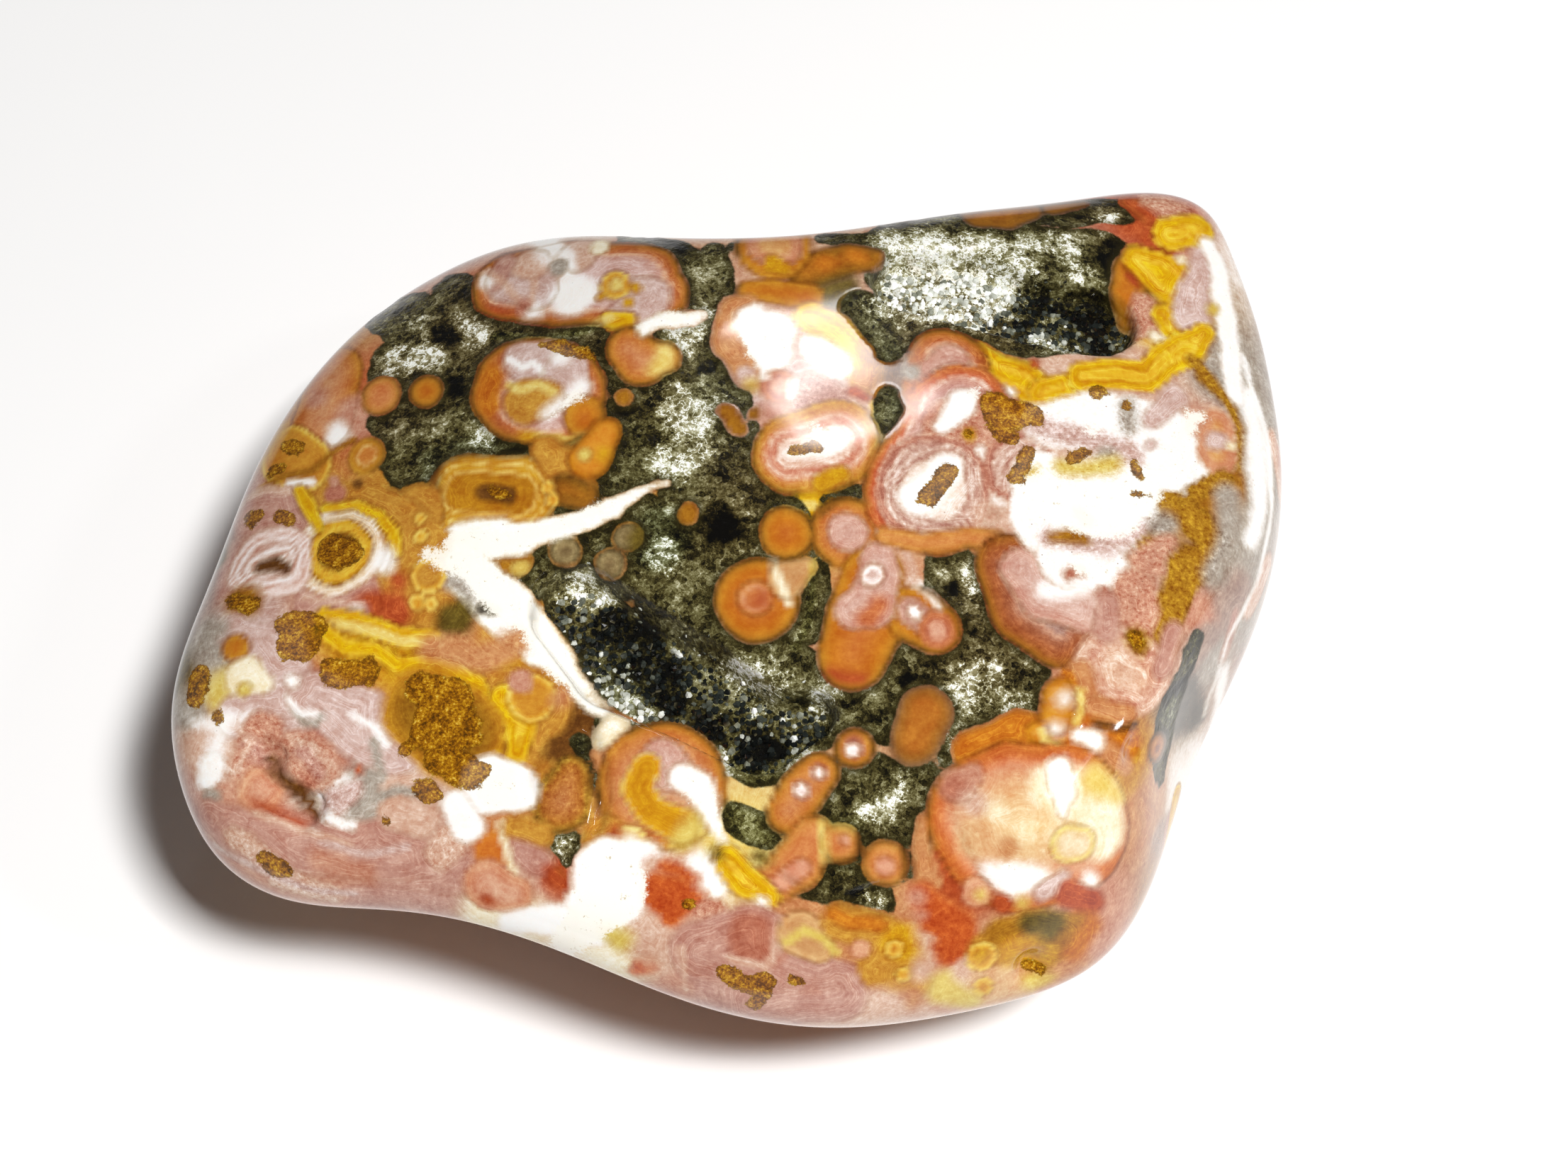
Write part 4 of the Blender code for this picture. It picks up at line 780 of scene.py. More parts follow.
# The looks of the pattern's bodies: (softness of the edge, how far it wanders, share of fine lines,
# of fine grain and of the brown glow at the matrix, colours by depth below the edge). A share of -1
# keeps what lies under the body.
LOOKS = {
    "orb": (0.15, 0.35, 0.1, 0.1, 1.0, (
        (0.0, (176, 116, 30)), (0.25, (204, 140, 44)), (0.8, "orange"), (2.2, (208, 124, 62)),
    )),
    "orb dark": (0.22, 0.5, 0.1, 0.2, 1.0, (
        (0.0, (92, 62, 20)), (0.5, (150, 98, 28)), (1.2, (184, 112, 34)),
    )),
    "orb gloss": (0.15, 0.3, 0.0, 0.1, 0.6, (
        (0.0, (150, 84, 14)), (0.2, (206, 132, 30)), (0.6, (224, 152, 52)),
    )),
    "orb ring": (0.15, 0.3, 0.2, 0.1, 0.6, (
        (0.0, (150, 96, 30)), (0.1, (208, 152, 52)), (0.45, (196, 130, 40)), (0.55, (232, 184, 114)),
        (0.7, (206, 130, 60)),
    )),
    "ring orb": (0.15, 0.3, 0.1, 0.1, 1.0, (
        (0.0, (100, 60, 30)), (0.2, (176, 112, 60)), (0.5, (206, 140, 80)), (0.7, (150, 80, 40)),
    )),
    "blurred orb": (0.45, 0.5, 0.1, 0.15, 0.6, (
        (0.0, (96, 68, 28)), (0.3, (150, 98, 38)), (0.8, (188, 116, 44)),
    )),
    "dark lobe": (0.15, 0.5, 0.2, 0.3, 0.0, (
        (0.0, (40, 34, 24)), (0.12, (96, 84, 56)), (0.4, (154, 136, 98)), (0.8, (120, 100, 70)),
    )),
    "salmon orb": (0.15, 0.4, 0.25, 0.25, 1.0, (
        (0.0, (150, 98, 36)), (0.2, (204, 136, 52)), (0.7, (204, 128, 68)), (1.3, (212, 144, 100)),
        (2.4, (218, 164, 130)),
    )),
    "peach orb": (0.15, 0.4, 0.2, 0.2, 0.7, (
        (0.0, (176, 120, 56)), (0.2, (214, 146, 76)), (0.8, (214, 136, 84)),
    )),
    "blush orb": (0.15, 0.6, 0.3, 0.3, 0.2, (
        (0.0, (196, 130, 100)), (0.2, (224, 166, 136)), (0.6, (214, 150, 124)), (1.0, (226, 174, 152)),
    )),
    "pear": (0.15, 0.4, 0.3, 0.7, 0.8, (
        (0.0, (100, 78, 26)), (0.2, (176, 136, 50)), (0.5, (184, 118, 48)), (1.0, (192, 124, 66)),
        (1.6, (202, 138, 88)),
    )),
    "big orb": (0.15, 0.5, 0.35, 0.3, 0.8, (
        (0.0, (140, 78, 30)), (0.15, (202, 114, 50)), (0.7, (208, 116, 64)), (1.0, (222, 142, 102)),
        (1.3, (226, 166, 134)), (2.2, (232, 184, 144)), (3.4, (240, 206, 164)), (4.6, (248, 230, 194)),
    )),
    "rimmed rose": (0.15, 0.7, 0.6, 0.3, 1.0, (
        (0.0, (112, 70, 28)), (0.2, (182, 112, 46)), (0.8, (198, 120, 76)), (1.0, (236, 192, 168)),
        (1.2, (212, 168, 162)), (1.8, (222, 190, 188)),
    )),
    "rimmed wide": (0.15, 0.6, 0.45, 0.35, 1.0, (
        (0.0, (86, 54, 20)), (0.25, (160, 98, 38)), (0.8, (172, 98, 58)), (1.4, (166, 104, 80)),
        (1.6, (218, 168, 148)), (1.8, (164, 128, 124)), (2.6, (186, 152, 146)),
    )),
    "rose ring": (0.15, 0.4, 0.3, 0.2, 0.5, (
        (0.0, (180, 104, 58)), (0.2, (200, 122, 82)), (0.5, (188, 110, 82)), (0.7, (222, 164, 142)),
        (1.0, (222, 170, 152)),
    )),
    "lilac core": (0.15, 0.6, 0.45, 0.35, -1.0, (
        (0.0, (238, 208, 196)), (0.12, (214, 166, 156)), (0.5, (214, 170, 162)), (1.0, (218, 180, 174)),
    )),
    "pink ring": (0.15, 0.4, 0.3, 0.2, -1.0, (
        (0.0, (240, 200, 174)), (0.12, (208, 142, 112)), (0.5, (216, 152, 120)), (0.9, (222, 166, 110)),
    )),
    "agate": (0.15, 0.8, 0.6, 0.4, 0.8, (
        (0.0, (150, 86, 44)), (0.1, (208, 126, 66)), (0.7, (210, 116, 84)), (0.85, (242, 212, 200)),
        (1.0, (216, 164, 154)), (1.5, (208, 162, 160)), (2.0, (224, 194, 190)),
    )),
    "ringed agate": (0.15, 0.9, 0.8, 0.6, 0.0, (
        (0.0, (222, 176, 160)), (0.1, (198, 140, 124)), (0.4, (182, 122, 110)), (0.55, (238, 214, 204)),
        (0.7, (190, 142, 134)), (1.0, (232, 208, 200)), (1.2, (186, 136, 128)), (1.5, (240, 222, 212)),
        (2.4, (252, 244, 236)),
    )),
    "star agate": (0.15, 1.3, 0.3, 0.3, 0.0, (
        (0.0, (216, 178, 170)), (0.3, (250, 232, 226)), (0.5, (222, 180, 172)), (0.75, (254, 244, 240)),
        (1.0, (206, 156, 146)), (1.3, (254, 246, 242)), (1.55, (212, 166, 154)), (1.7, (252, 238, 232)),
    )),
    "blush rings": (0.15, 0.8, 0.7, 0.6, 0.0, (
        (0.0, (206, 160, 140)), (0.15, (234, 202, 188)), (0.5, (222, 182, 166)), (0.7, (206, 150, 136)),
        (0.9, (232, 198, 184)), (1.3, (216, 170, 152)), (1.6, (238, 210, 194)), (2.1, (222, 184, 166)),
    )),
    "big eye": (0.15, 0.5, 0.5, 0.4, 0.9, (
        (0.0, (160, 104, 36)), (0.1, (212, 156, 54)), (0.6, (214, 150, 84)), (0.75, (222, 150, 110)),
        (0.95, (242, 208, 192)), (1.1, (218, 150, 130)), (1.4, (214, 144, 124)), (1.55, (248, 226, 214)),
        (1.75, (230, 190, 176)), (2.0, (252, 244, 236)),
    )),
    "eye ring": (0.15, 0.3, 0.1, 0.1, -1.0, (
        (0.0, (214, 150, 84)), (0.12, (206, 128, 66)), (0.35, (222, 160, 120)), (0.5, (210, 136, 84)),
        (0.8, (206, 124, 56)),
    )),
    "eye white": (0.15, 0.4, 0.2, 0.4, -1.0, (
        (0.0, (226, 186, 180)), (0.12, (246, 226, 220)), (0.3, (252, 244, 240)), (0.45, (216, 182, 178)),
    )),
    "eye pink": (0.15, 0.4, 0.1, 0.1, -1.0, (
        (0.0, (214, 140, 104)), (0.2, (224, 162, 138)),
    )),
    "yellow eye": (0.15, 0.4, 0.4, 0.15, 0.5, (
        (0.0, (196, 140, 50)), (0.08, (250, 228, 154)), (0.2, (216, 162, 50)), (0.45, (208, 150, 40)),
        (0.53, (248, 222, 134)), (0.65, (216, 166, 60)), (0.9, (202, 142, 30)), (1.0, (238, 202, 112)),
        (1.2, (190, 130, 30)),
    )),
    "round moss": (0.15, 0.7, 0.5, 0.3, 0.0, (
        (0.0, (226, 186, 150)), (0.2, (250, 236, 222)), (0.6, (240, 214, 180)), (0.75, (150, 96, 20)),
        (0.85, (222, 166, 40)), (1.3, (240, 198, 72)), (1.5, (170, 116, 24)), (1.7, "umber"),
    )),
    "round ochre": (0.15, 0.8, 0.1, 0.9, 0.0, (
        (0.0, (206, 160, 80)), (0.15, (150, 106, 24)), (0.5, (172, 124, 34)),
    )),
    "gold ring": (0.15, 0.3, 0.2, 0.15, 0.0, (
        (0.0, (176, 120, 30)), (0.1, (246, 216, 112)), (0.28, (228, 174, 60)), (0.45, (208, 144, 50)),
    )),
    "straw ring": (0.15, 0.3, 0.2, 0.2, 0.0, (
        (0.0, (226, 200, 120)), (0.12, (250, 236, 154)), (0.28, (238, 208, 150)), (0.5, (242, 222, 190)),
    )),
    "gold crescent": (0.15, 0.3, 0.4, 0.15, 0.0, (
        (0.0, (250, 224, 120)), (0.12, (228, 172, 40)), (0.4, (208, 146, 24)),
    )),
    "mustard band": (0.15, 0.7, 0.8, 0.15, 0.5, (
        (0.0, (160, 108, 10)), (0.12, (240, 200, 60)), (0.3, "mustard"), (0.6, (216, 160, 10)),
        (0.8, (244, 206, 66)), (1.1, "mustard"),
    )),
    "moss zone": (0.25, 1.0, 0.3, 0.3, 0.0, (
        (0.0, (206, 146, 40)), (0.5, (176, 122, 32)), (1.2, (150, 104, 26)),
    )),
    "tan bulge": (0.15, 0.4, 0.2, 0.1, 0.5, (
        (0.0, (176, 130, 80)), (0.15, (228, 184, 134)), (0.5, (208, 158, 110)),
    )),
    "rhomb": (0.15, 0.2, 0.1, 0.2, 0.0, (
        (0.0, (214, 128, 50)), (0.4, (206, 114, 44)),
    )),
    "flame": (0.25, 1.6, 0.2, 0.5, 0.0, (
        (0.0, (208, 112, 60)), (0.4, (196, 88, 40)),
    )),
    # White streaks: white agate, and on the upper left in part a painted highlight
    "streak": (0.15, 1.3, 0.1, 0.8, 0.0, (
        (0.0, (238, 228, 208)), (0.2, (252, 250, 244)),
    )),
    "glare": (0.25, 1.0, 0.1, 0.5, 0.0, (
        (0.0, (250, 242, 234)), (0.4, (254, 252, 250)),
    )),
    "ochre field": (0.15, 1.5, 0.1, 1.0, 0.0, (
        (0.0, (150, 106, 26)), (0.3, (176, 128, 36)),
    )),
}

# The same for bodies of one palette colour, by the first or the last word of their name
PLAIN = {
    "patch": (0.18, 0.8, 0.35, 0.35, 0.3),
    "soft": (0.45, 1.0, -1.0, -1.0, -1.0),
    "line": (0.16, 0.4, -1.0, -1.0, -1.0),
    "grain": (0.2, 1.2, 0.45, 1.0, 0.2),
    "field": (0.22, 1.0, 0.6, 0.3, 0.4),
}

# How the layers over the bodies wander: (share of the slow wobble, depth of the scallops, their width)
EDGES = {
    "moss": (1.0, 0.40, 0.75),
    "matrix": (1.0, -0.30, 1.4),
    "frost": (1.6, 0.50, 0.8),
    "pitch": (1.6, 0.40, 0.7),
    "cream": (1.3, 0.45, 1.0),
}
PEBBLE_MIDDLE = 0.52
PEBBLE_SEED = 40

# The ground tints wander by this share of the wobble, and a site's pull is level up to about a third
# of its reach
TINT_WANDER = 1.2
TINT_FLATNESS = 0.12

# The share of fine lines and of fine grain where no body lies
GROUND_TEXTURE = 0.4

# Smooth noise as (height, width, seed): what bends the bodies' edges, and the grain of the matrix
WOBBLE_NOISE = ((0.30, 2.6, 3), (0.10, 0.9, 7))
GRAIN_NOISE = ((1.0, 0.55, 31), (0.8, 0.3, 32))
MATRIX_WEAR = 0.05

# A body is worked out this far outside its edge, and a chain's depth is no less than FAR_OUTSIDE
BODY_REACH = 1.2
CHAIN_REACH = 2.5
FAR_OUTSIDE = -3.0

# A ball is seated on the surface within this squared distance of its line of sight, or pays for more
SEAT_SLACK = 0.09
SEAT_COST = 60.0

# The back and the underside: (body or layer, how many, least and greatest radius), and their tints
UNSEEN_PLAN = (
    ("matrix", 60, 1.4, 4.2), ("rimmed rose", 26, 2.0, 5.0), ("agate", 20, 2.0, 4.6),
    ("mauve field", 18, 1.5, 3.5), ("honey field", 14, 1.4, 3.0), ("ringed agate", 16, 1.4, 3.4),
    ("mustard band", 18, 0.6, 1.4), ("salmon orb", 28, 1.0, 3.0), ("orb", 34, 0.8, 2.6),
    ("peach orb", 14, 0.9, 2.2), ("lilac core", 26, 0.5, 1.1), ("gold ring", 20, 0.4, 0.8),
    ("streak", 14, 0.5, 1.3), ("flame", 12, 0.6, 1.4), ("moss", 40, 0.5, 1.5),
    ("frost", 30, 0.6, 1.8), ("cream", 12, 0.5, 1.2),
)
UNSEEN_TINTS = (
    "blush", "pink", "mauve", "lilac", "peach", "honey", "gold", "salmon", "white", "ochre", "grey_pink",
)
UNSEEN_TINT_COUNT = 150
UNSEEN_RAYS = 2400
UNSEEN_SEED = 21

# How far a surface has to look away for a growth, and the room that the growth has there
JUST_HIDDEN = 0.02
ROOM_AT_EDGE = 0.7
ROOM_BEHIND = 9.0
GROWTH_LENGTH = 0.7
BAND_LENGTH = 2.0

# The skin's stored values, three kinds to each attribute
ATTRIBUTES = {
    "bodies": ("depth", "lines", "grain"),
    "darks": ("matrix", "frost", "pitch"),
    "marks": ("moss", "cream", "halo"),
    "floors": ("hollow", "hollow", "hollow"),
}

# The stone's half sizes and their squares, over which the grid and the unseen growths are spread
HALF_SIZES = (31.0, 27.0, 12.6)
HALF_SIZES_SQUARED = (961.0, 729.0, 159.0)

# The grid gives the underside fewer points: over this fall from the top pole, in radians, their share
# drops by UNDERSIDE_SPARED
UNDERSIDE_FALL = (1.7, 2.15)
UNDERSIDE_SPARED = 0.74

# Added to a point's share of a hollow where it lies below the girdle, so that it counts as outside
BELOW_GIRDLE = 9.0

# Crystals: width over pitch, height over width, shoulder over height, corner over width, and how deep
# each stands in the stone. ROW_LENGTH numbers the squares that hold one each.
CRYSTAL_WIDTHS = (0.38, 0.72)
CRYSTAL_HEIGHTS = (1.0, 2.3)
CRYSTAL_SHOULDERS = (0.35, 0.65)
CRYSTAL_CORNERS = (0.75, 1.15)
ROOT_DEPTH = 0.15
ROW_LENGTH = 4096
QUARTZ_IOR = 1.54


def direction(azimuth, elevation):
    """Unit vector that looks along an azimuth and an elevation, in degrees."""
    turn, rise = math.radians(azimuth), math.radians(elevation)
    return np.array([math.cos(turn) * math.cos(rise), math.sin(turn) * math.cos(rise), math.sin(rise)])


def girdle_direction(clock):
    """Unit vector in the slanted plane of the girdle, at a clock angle from +X."""
    turn, tilt = math.radians(clock), math.radians(GIRDLE_TILT)
    return np.array([math.cos(turn), math.sin(turn) * math.cos(tilt), math.sin(turn) * math.sin(tilt)])


def smooth_step(low, high, value):
    """0 at low and before it, 1 at high and past it, eased between."""
    share = np.clip((value - low) / (high - low), 0.0, 1.0)
    return share * share * (3.0 - 2.0 * share)


def share_of_hollow(line, points):
    """Distance to a hollow's middle line over its half width there: 1 at the rim."""
    x, y = points[:, 0], points[:, 1]
    nearest = np.full(len(points), np.inf)
    for (x0, y0, r0), (x1, y1, r1) in zip(line, line[1:]):
        run_x, run_y = x1 - x0, y1 - y0
        along = np.clip(((x - x0) * run_x + (y - y0) * run_y) / (run_x**2 + run_y**2), 0.0, 1.0)
        across = np.hypot(x - x0 - along * run_x, y - y0 - along * run_y)
        nearest = np.minimum(nearest, across / (r0 + along * (r1 - r0)))
    return nearest


def share_from_above(line, points):
    """The share of a hollow at points of the whole surface, past its rim for those below the girdle."""
    return share_of_hollow(line, points) + BELOW_GIRDLE * (points[:, 2] < 0.0)


def stone_form(rays):
    """Points where rays from the middle leave the stone: one over the power sum of each face's share
    rounds the block's edges, then scoops, waves, pits and swells move them and hollows press them down."""
    looks = [girdle_direction(clock) for clock, _ in GIRDLE_FACES]
    looks += [direction(azimuth, elevation) for azimuth, elevation, _ in FACES]
    reaches = np.array([face[-1] for face in GIRDLE_FACES + FACES])
    shares = np.maximum(rays @ np.array(looks).T, 0.0) / reaches
    points = rays / ((shares**EDGE_HARDNESS).sum(axis=1) ** (1.0 / EDGE_HARDNESS))[:, None]
    for centre, clock, depth, width in SCOOPS:
        near = np.exp(-((points - centre) ** 2).sum(axis=1) / width**2)
        points = points - np.outer(depth * near, girdle_direction(clock))
    for run, wavelength, height in WAVES:
        run = np.array(run) / np.linalg.norm(run)
        wave = height * np.sin(points @ run * (2.0 * math.pi / wavelength))
        points = points + rays * wave[:, None]
    for centre, radius, height in PITS_AND_SWELLS:
        near = np.exp(-((points - centre) ** 2).sum(axis=1) / (PIT_SPREAD * radius) ** 2)
        points = points + rays * (height * near)[:, None]
    for line, depth in HOLLOWS.values():
        wall = 1.0 - smooth_step(HOLLOW_WALL, 1.0, share_of_hollow(line, points))
        points[:, 2] -= depth * wall * (points[:, 2] > 0.0)
    return points


def lattice_codes(cell, codes):
    """A code from 0 to 255 for each cell of a cubic lattice, from a shuffled row of such codes."""
    return codes[(codes[(codes[cell[:, 0] & 255] + cell[:, 1]) & 255] + cell[:, 2]) & 255]


def swell_noise(points, seed):
    """Smooth noise from -1 to 1, about one swell to each unit: random slopes at the corners of a
    cubic lattice, blended across each cell."""
    chance = np.random.default_rng(seed)
    codes = chance.permutation(256)
    slopes = chance.normal(size=(256, 3))
    slopes /= np.linalg.norm(slopes, axis=1)[:, None]
    cell = np.floor(points).astype(int)
    inside = points - cell
    ease = inside**3 * (inside * (inside * 6.0 - 15.0) + 10.0)
    total = np.zeros(len(points))
    for corner in product((0, 1), repeat=3):
        slope = slopes[lattice_codes(cell + corner, codes)]
        share = np.prod(np.where(corner, ease, 1.0 - ease), axis=1)
        total += share * (slope * (inside - corner)).sum(axis=1)
    return total * 1.6


def layered_noise(points, layers, offset=0):
    """The sum of layers of smooth noise, each given as (height, width, seed)."""
    return sum(height * swell_noise(points / width, seed + offset) for height, width, seed in layers)


def pebble_noise(points, seed):
    """Distance to the nearest of points scattered one to a unit cube: 0 on one, about 0.9 between."""
    chance = np.random.default_rng(seed)
    codes = chance.permutation(256)
    spots = chance.random((256, 3))
    cell = np.floor(points).astype(int)
    nearest = np.full(len(points), 9.0)
    for corner in product((-1, 0, 1), repeat=3):
        at = cell + corner
        away = at + spots[lattice_codes(at, codes)] - points
        nearest = np.minimum(nearest, (away**2).sum(axis=1))
    return np.sqrt(nearest)


def line_of_sight():
    """Unit vector along the slanting view, away from the viewer."""
    tilt = math.radians(SIGHT_TILT)
    return np.array([0.0, math.cos(tilt), -math.sin(tilt)])


def along_sight(points, share=SIGHT_SHARE):
    """The points as (across, up, away) in the slanting view, with the last shortened to its share."""
    tilt = math.radians(SIGHT_TILT)
    up = np.array([0.0, math.sin(tilt), math.cos(tilt)])
    return np.stack([points[:, 0], points @ up, points @ line_of_sight() * share], axis=1)


def seated(chain, places):
    """A chain's balls as middles and radii. Each ball is given as (across, up, radius) in the slanting
    view, and it sits on the nearest point of the surface there."""
    balls = np.array(chain, float)
    away = ((places[:, None, :2] - balls[None, :, :2]) ** 2).sum(axis=2)
    depth = places[:, 2]
    first = (depth[:, None] + SEAT_COST * np.maximum(away - SEAT_SLACK, 0.0)).argmin(axis=0)
    return np.column_stack([balls[:, :2], depth[first]]), balls[:, 2]


def chain_depth(places, middles, radii):
    """How deep each place lies in a chain of balls: the radius there less the distance to the chain's
    line. It is negative outside, and only worked out near each stretch of the chain."""
    deepest = np.full(len(places), FAR_OUTSIDE)
    for start in range(max(len(middles) - 1, 1)):
        end = min(start + 1, len(middles) - 1)
        run = middles[end] - middles[start]
        reach = np.abs(run) / 2.0 + max(radii[start], radii[end]) + CHAIN_REACH
        near = np.flatnonzero((np.abs(places - middles[start] - run / 2.0) < reach).all(axis=1))
        offset = places[near] - middles[start]
        along = np.clip(offset @ run / (run @ run + 1e-9), 0.0, 1.0)
        away = np.linalg.norm(offset - along[:, None] * run, axis=1)
        depth = radii[start] + along * (radii[end] - radii[start]) - away
        deepest[near] = np.maximum(deepest[near], depth)
    return deepest


def linear(colour):
    """A palette name or a colour of 0 to 255 as the linear values that shaders take."""
    share = np.array(PALETTE[colour] if isinstance(colour, str) else colour, float) / 255.0
    return np.where(share <= 0.04045, share / 12.92, ((share + 0.055) / 1.055) ** 2.4)


def look_of(body):
    """The look of a body, from its name: its own, or that of its kind with one palette colour."""
    if body in LOOKS:
        return LOOKS[body]
    words = body.split(" ")
    kind, colour = words if words[0] in PLAIN else words[::-1]
    return (*PLAIN[kind], ((0.0, colour),))


def unseen_growths():
    """Bodies, layers and tints for the back and the underside, scattered from a seed where the surface
    looks away from the slanting view. None reaches round to the front."""
    chance = np.random.default_rng(UNSEEN_SEED)
    rays = chance.normal(size=(UNSEEN_RAYS, 3)) * HALF_SIZES
    rays /= np.linalg.norm(rays, axis=1)[:, None]
    points = stone_form(rays)
    points[:, 2] = np.maximum(points[:, 2], -BASE_DEPTH)
    looks = points / HALF_SIZES_SQUARED
    away = looks @ line_of_sight() / np.linalg.norm(looks, axis=1)
    hidden = away > JUST_HIDDEN
    points, rooms = points[hidden], ROOM_AT_EDGE + ROOM_BEHIND * away[hidden]
    growths = []
    taken = 0
    for name, count, least, most in UNSEEN_PLAN:
        length = BAND_LENGTH if name == "mustard band" else GROWTH_LENGTH
        for spot, room in zip(points[taken : taken + count], rooms[taken : taken + count]):
            radius = min(chance.uniform(least, most), room)
            side = spot + chance.normal(size=3) * radius * length
            radii = np.array([radius, radius * chance.uniform(0.5, 0.9)])
            growths.append((name, np.array([spot, side]), radii))
        taken += count
    picks = chance.integers(0, len(UNSEEN_TINTS), UNSEEN_TINT_COUNT)
    spots = points[-UNSEEN_TINT_COUNT:]
    tints = [(UNSEEN_TINTS[pick], spot, chance.uniform(1.2, 2.6)) for pick, spot in zip(picks, spots)]
    return growths, tints


def ground_tint(count, sites):
    """The mean of the tints of all sites, each weighed by one over the cube of its squared distance."""
    total = np.zeros(count)
    tint = np.zeros((count, 3))
    for name, middle, reach, places in sites:
        weight = 1.0 / (((places - middle) ** 2).sum(axis=1) / reach**2 + TINT_FLATNESS) ** 3
        total += weight
        tint += weight[:, None] * linear(name)
    return tint / total[:, None]


def colour_at(depth, stops):
    """The colour at each depth in a body, blended between the stops on either side of it."""
    stop_depths = [stop for stop, _ in stops]
    colours = np.array([linear(colour) for _, colour in stops])
    return np.stack([np.interp(depth, stop_depths, colours[:, axis]) for axis in range(3)], axis=1)


def pattern_at(points):
    """The pattern at points of the surface. Bodies are painted over the ground tint one after another:
    each covers what lies under it by its depth, in the colour that its look gives for that depth. The
    result holds the distance to the nearest edge that isn't covered, the shares of lines, grain and
    glow, the depth in each layer, and the tint. The matrix ends where a body begins."""
    count = len(points)
    wobble = np.stack([layered_noise(points, WOBBLE_NOISE, axis) for axis in range(3)], axis=1)
    fixed = along_sight(points)

    @lru_cache(maxsize=None)
    def places_for(share, front):
        """The points moved by a share of the wobble, for the front's bodies or for the others."""
        return along_sight(points + share * wobble, SIGHT_SHARE if front else 1.0)

    scattered, scattered_tints = unseen_growths()
    layers = {name: [] for name in EDGES}
    painting = []
    for name, spots, radii in scattered:
        layers.get(name, painting).append((name, along_sight(spots, 1.0), radii, False))
    for name, chains in PAINTING:
        painting += [(name, *seated(chain, fixed), True) for chain in chains]
    for name in EDGES:
        layers[name] += [(name, *seated(chain, fixed), True) for chain in LAYERS[name]]

    sites = []
    for name, group in TINTS.items():
        middles, reaches = seated(group, fixed)
        places = places_for(TINT_WANDER, True)
        sites += [(name, middle, reach, places) for middle, reach in zip(middles, reaches)]
    for name, spot, reach in scattered_tints:
        sites.append((name, along_sight(spot[None], 1.0)[0], reach, places_for(TINT_WANDER, False)))
    tint = ground_tint(count, sites)

    found = {"depth": np.ones(count), "halo": np.zeros(count)}
    found["lines"] = np.full(count, GROUND_TEXTURE)
    found["grain"] = np.full(count, GROUND_TEXTURE)
    for name, (share, scallop, width) in EDGES.items():
        depths = [chain_depth(places_for(share, front), *balls) for _, *balls, front in layers[name]]
        pebbles = PEBBLE_MIDDLE - pebble_noise(points / width, PEBBLE_SEED + len(name))
        found[name] = np.maximum.reduce(depths) + scallop * pebbles

    for name, *balls, front in painting:
        edge, share, lines, grain, halo, stops = look_of(name)
        depth = chain_depth(places_for(share, front), *balls)
        near = np.flatnonzero(depth > -BODY_REACH)
        depth = depth[near]
        cover = smooth_step(-edge, edge, depth)
        tint[near] += cover[:, None] * (colour_at(depth, stops) - tint[near])
        for kind, value in (("lines", lines), ("grain", grain), ("halo", halo)):
            if value >= 0.0:
                found[kind][near] += cover * (value - found[kind][near])
        if lines >= 0.0:
            found["depth"][near] = np.where(depth > 0.0, depth, np.minimum(found["depth"][near], -depth))
            found["matrix"][near] = np.minimum(found["matrix"][near], -depth)
    found["hollow"] = 1.0 - np.minimum(*(share_from_above(line, points) for line, _ in HOLLOWS.values()))
    return found, tint


def folded_grid(count):
    """Unit rays on a square grid folded round the stone: its middle looks up and its four corners
    meet below. The turn is the share of a quarter, and the fall from the top pole gives each ring
    the area that it has on the flattened stone, less on the underside. Returns rays and faces."""
    side = np.linspace(-1.0, 1.0, count)
    s, t = np.meshgrid(side, side, indexing="ij")
    ring = np.abs(s) + np.abs(t)
    x = np.where(ring <= 1.0, s, np.copysign(1.0 - np.abs(t), s))
    y = np.where(ring <= 1.0, t, np.copysign(1.0 - np.abs(s), t))
    quarter = np.abs(y) / np.maximum(np.abs(x) + np.abs(y), 1e-12) * math.pi / 2.0

    length, breadth, height = HALF_SIZES
    fall = np.linspace(0.0, math.pi, 4001)
    weight = 1.0 - UNDERSIDE_SPARED * smooth_step(*UNDERSIDE_FALL, fall)
    slant = np.hypot((length + breadth) / 2.0 * np.cos(fall), height * np.sin(fall))
    strip = weight * np.sin(fall) * slant
    area = np.concatenate([[0.0], np.cumsum((strip[1:] + strip[:-1]) / 2.0)])
    area *= 2.0 / area[-1]
    reach = np.where(area <= 1.0, np.sqrt(area), 2.0 - np.sqrt(np.maximum(2.0 - area, 0.0)))
    fall = np.interp(ring, reach, fall)

    rays = np.stack(
        [
            length * np.copysign(np.cos(quarter), x) * np.sin(fall),
            breadth * np.copysign(np.sin(quarter), y) * np.sin(fall),
            height * np.cos(fall),
        ],
        axis=2,
    ).reshape(-1, 3)
    rays /= np.linalg.norm(rays, axis=1)[:, None]

    # the halves of each edge of the grid meet, so their points are one
    number = np.arange(count * count).reshape(count, count)
    for edge in (number[0], number[-1], number[:, 0], number[:, -1]):
        edge[:] = np.minimum(edge, edge[::-1])
    kept, number = np.unique(number, return_inverse=True)
    number = number.reshape(count, count)
    faces = np.stack([number[:-1, :-1], number[1:, :-1], number[1:, 1:], number[:-1, 1:]], axis=2)
    return rays[kept], faces.reshape(-1, 4)


def normals_of(points, faces):
    """Unit normals at the points: the sum of the cross products of the diagonals of the faces round each."""
    across = np.cross(points[faces[:, 2]] - points[faces[:, 0]], points[faces[:, 3]] - points[faces[:, 1]])
    summed = np.stack(
        [np.bincount(faces.ravel(), np.repeat(across[:, axis], 4), len(points)) for axis in range(3)], axis=1
    )
    return summed / np.linalg.norm(summed, axis=1)[:, None]


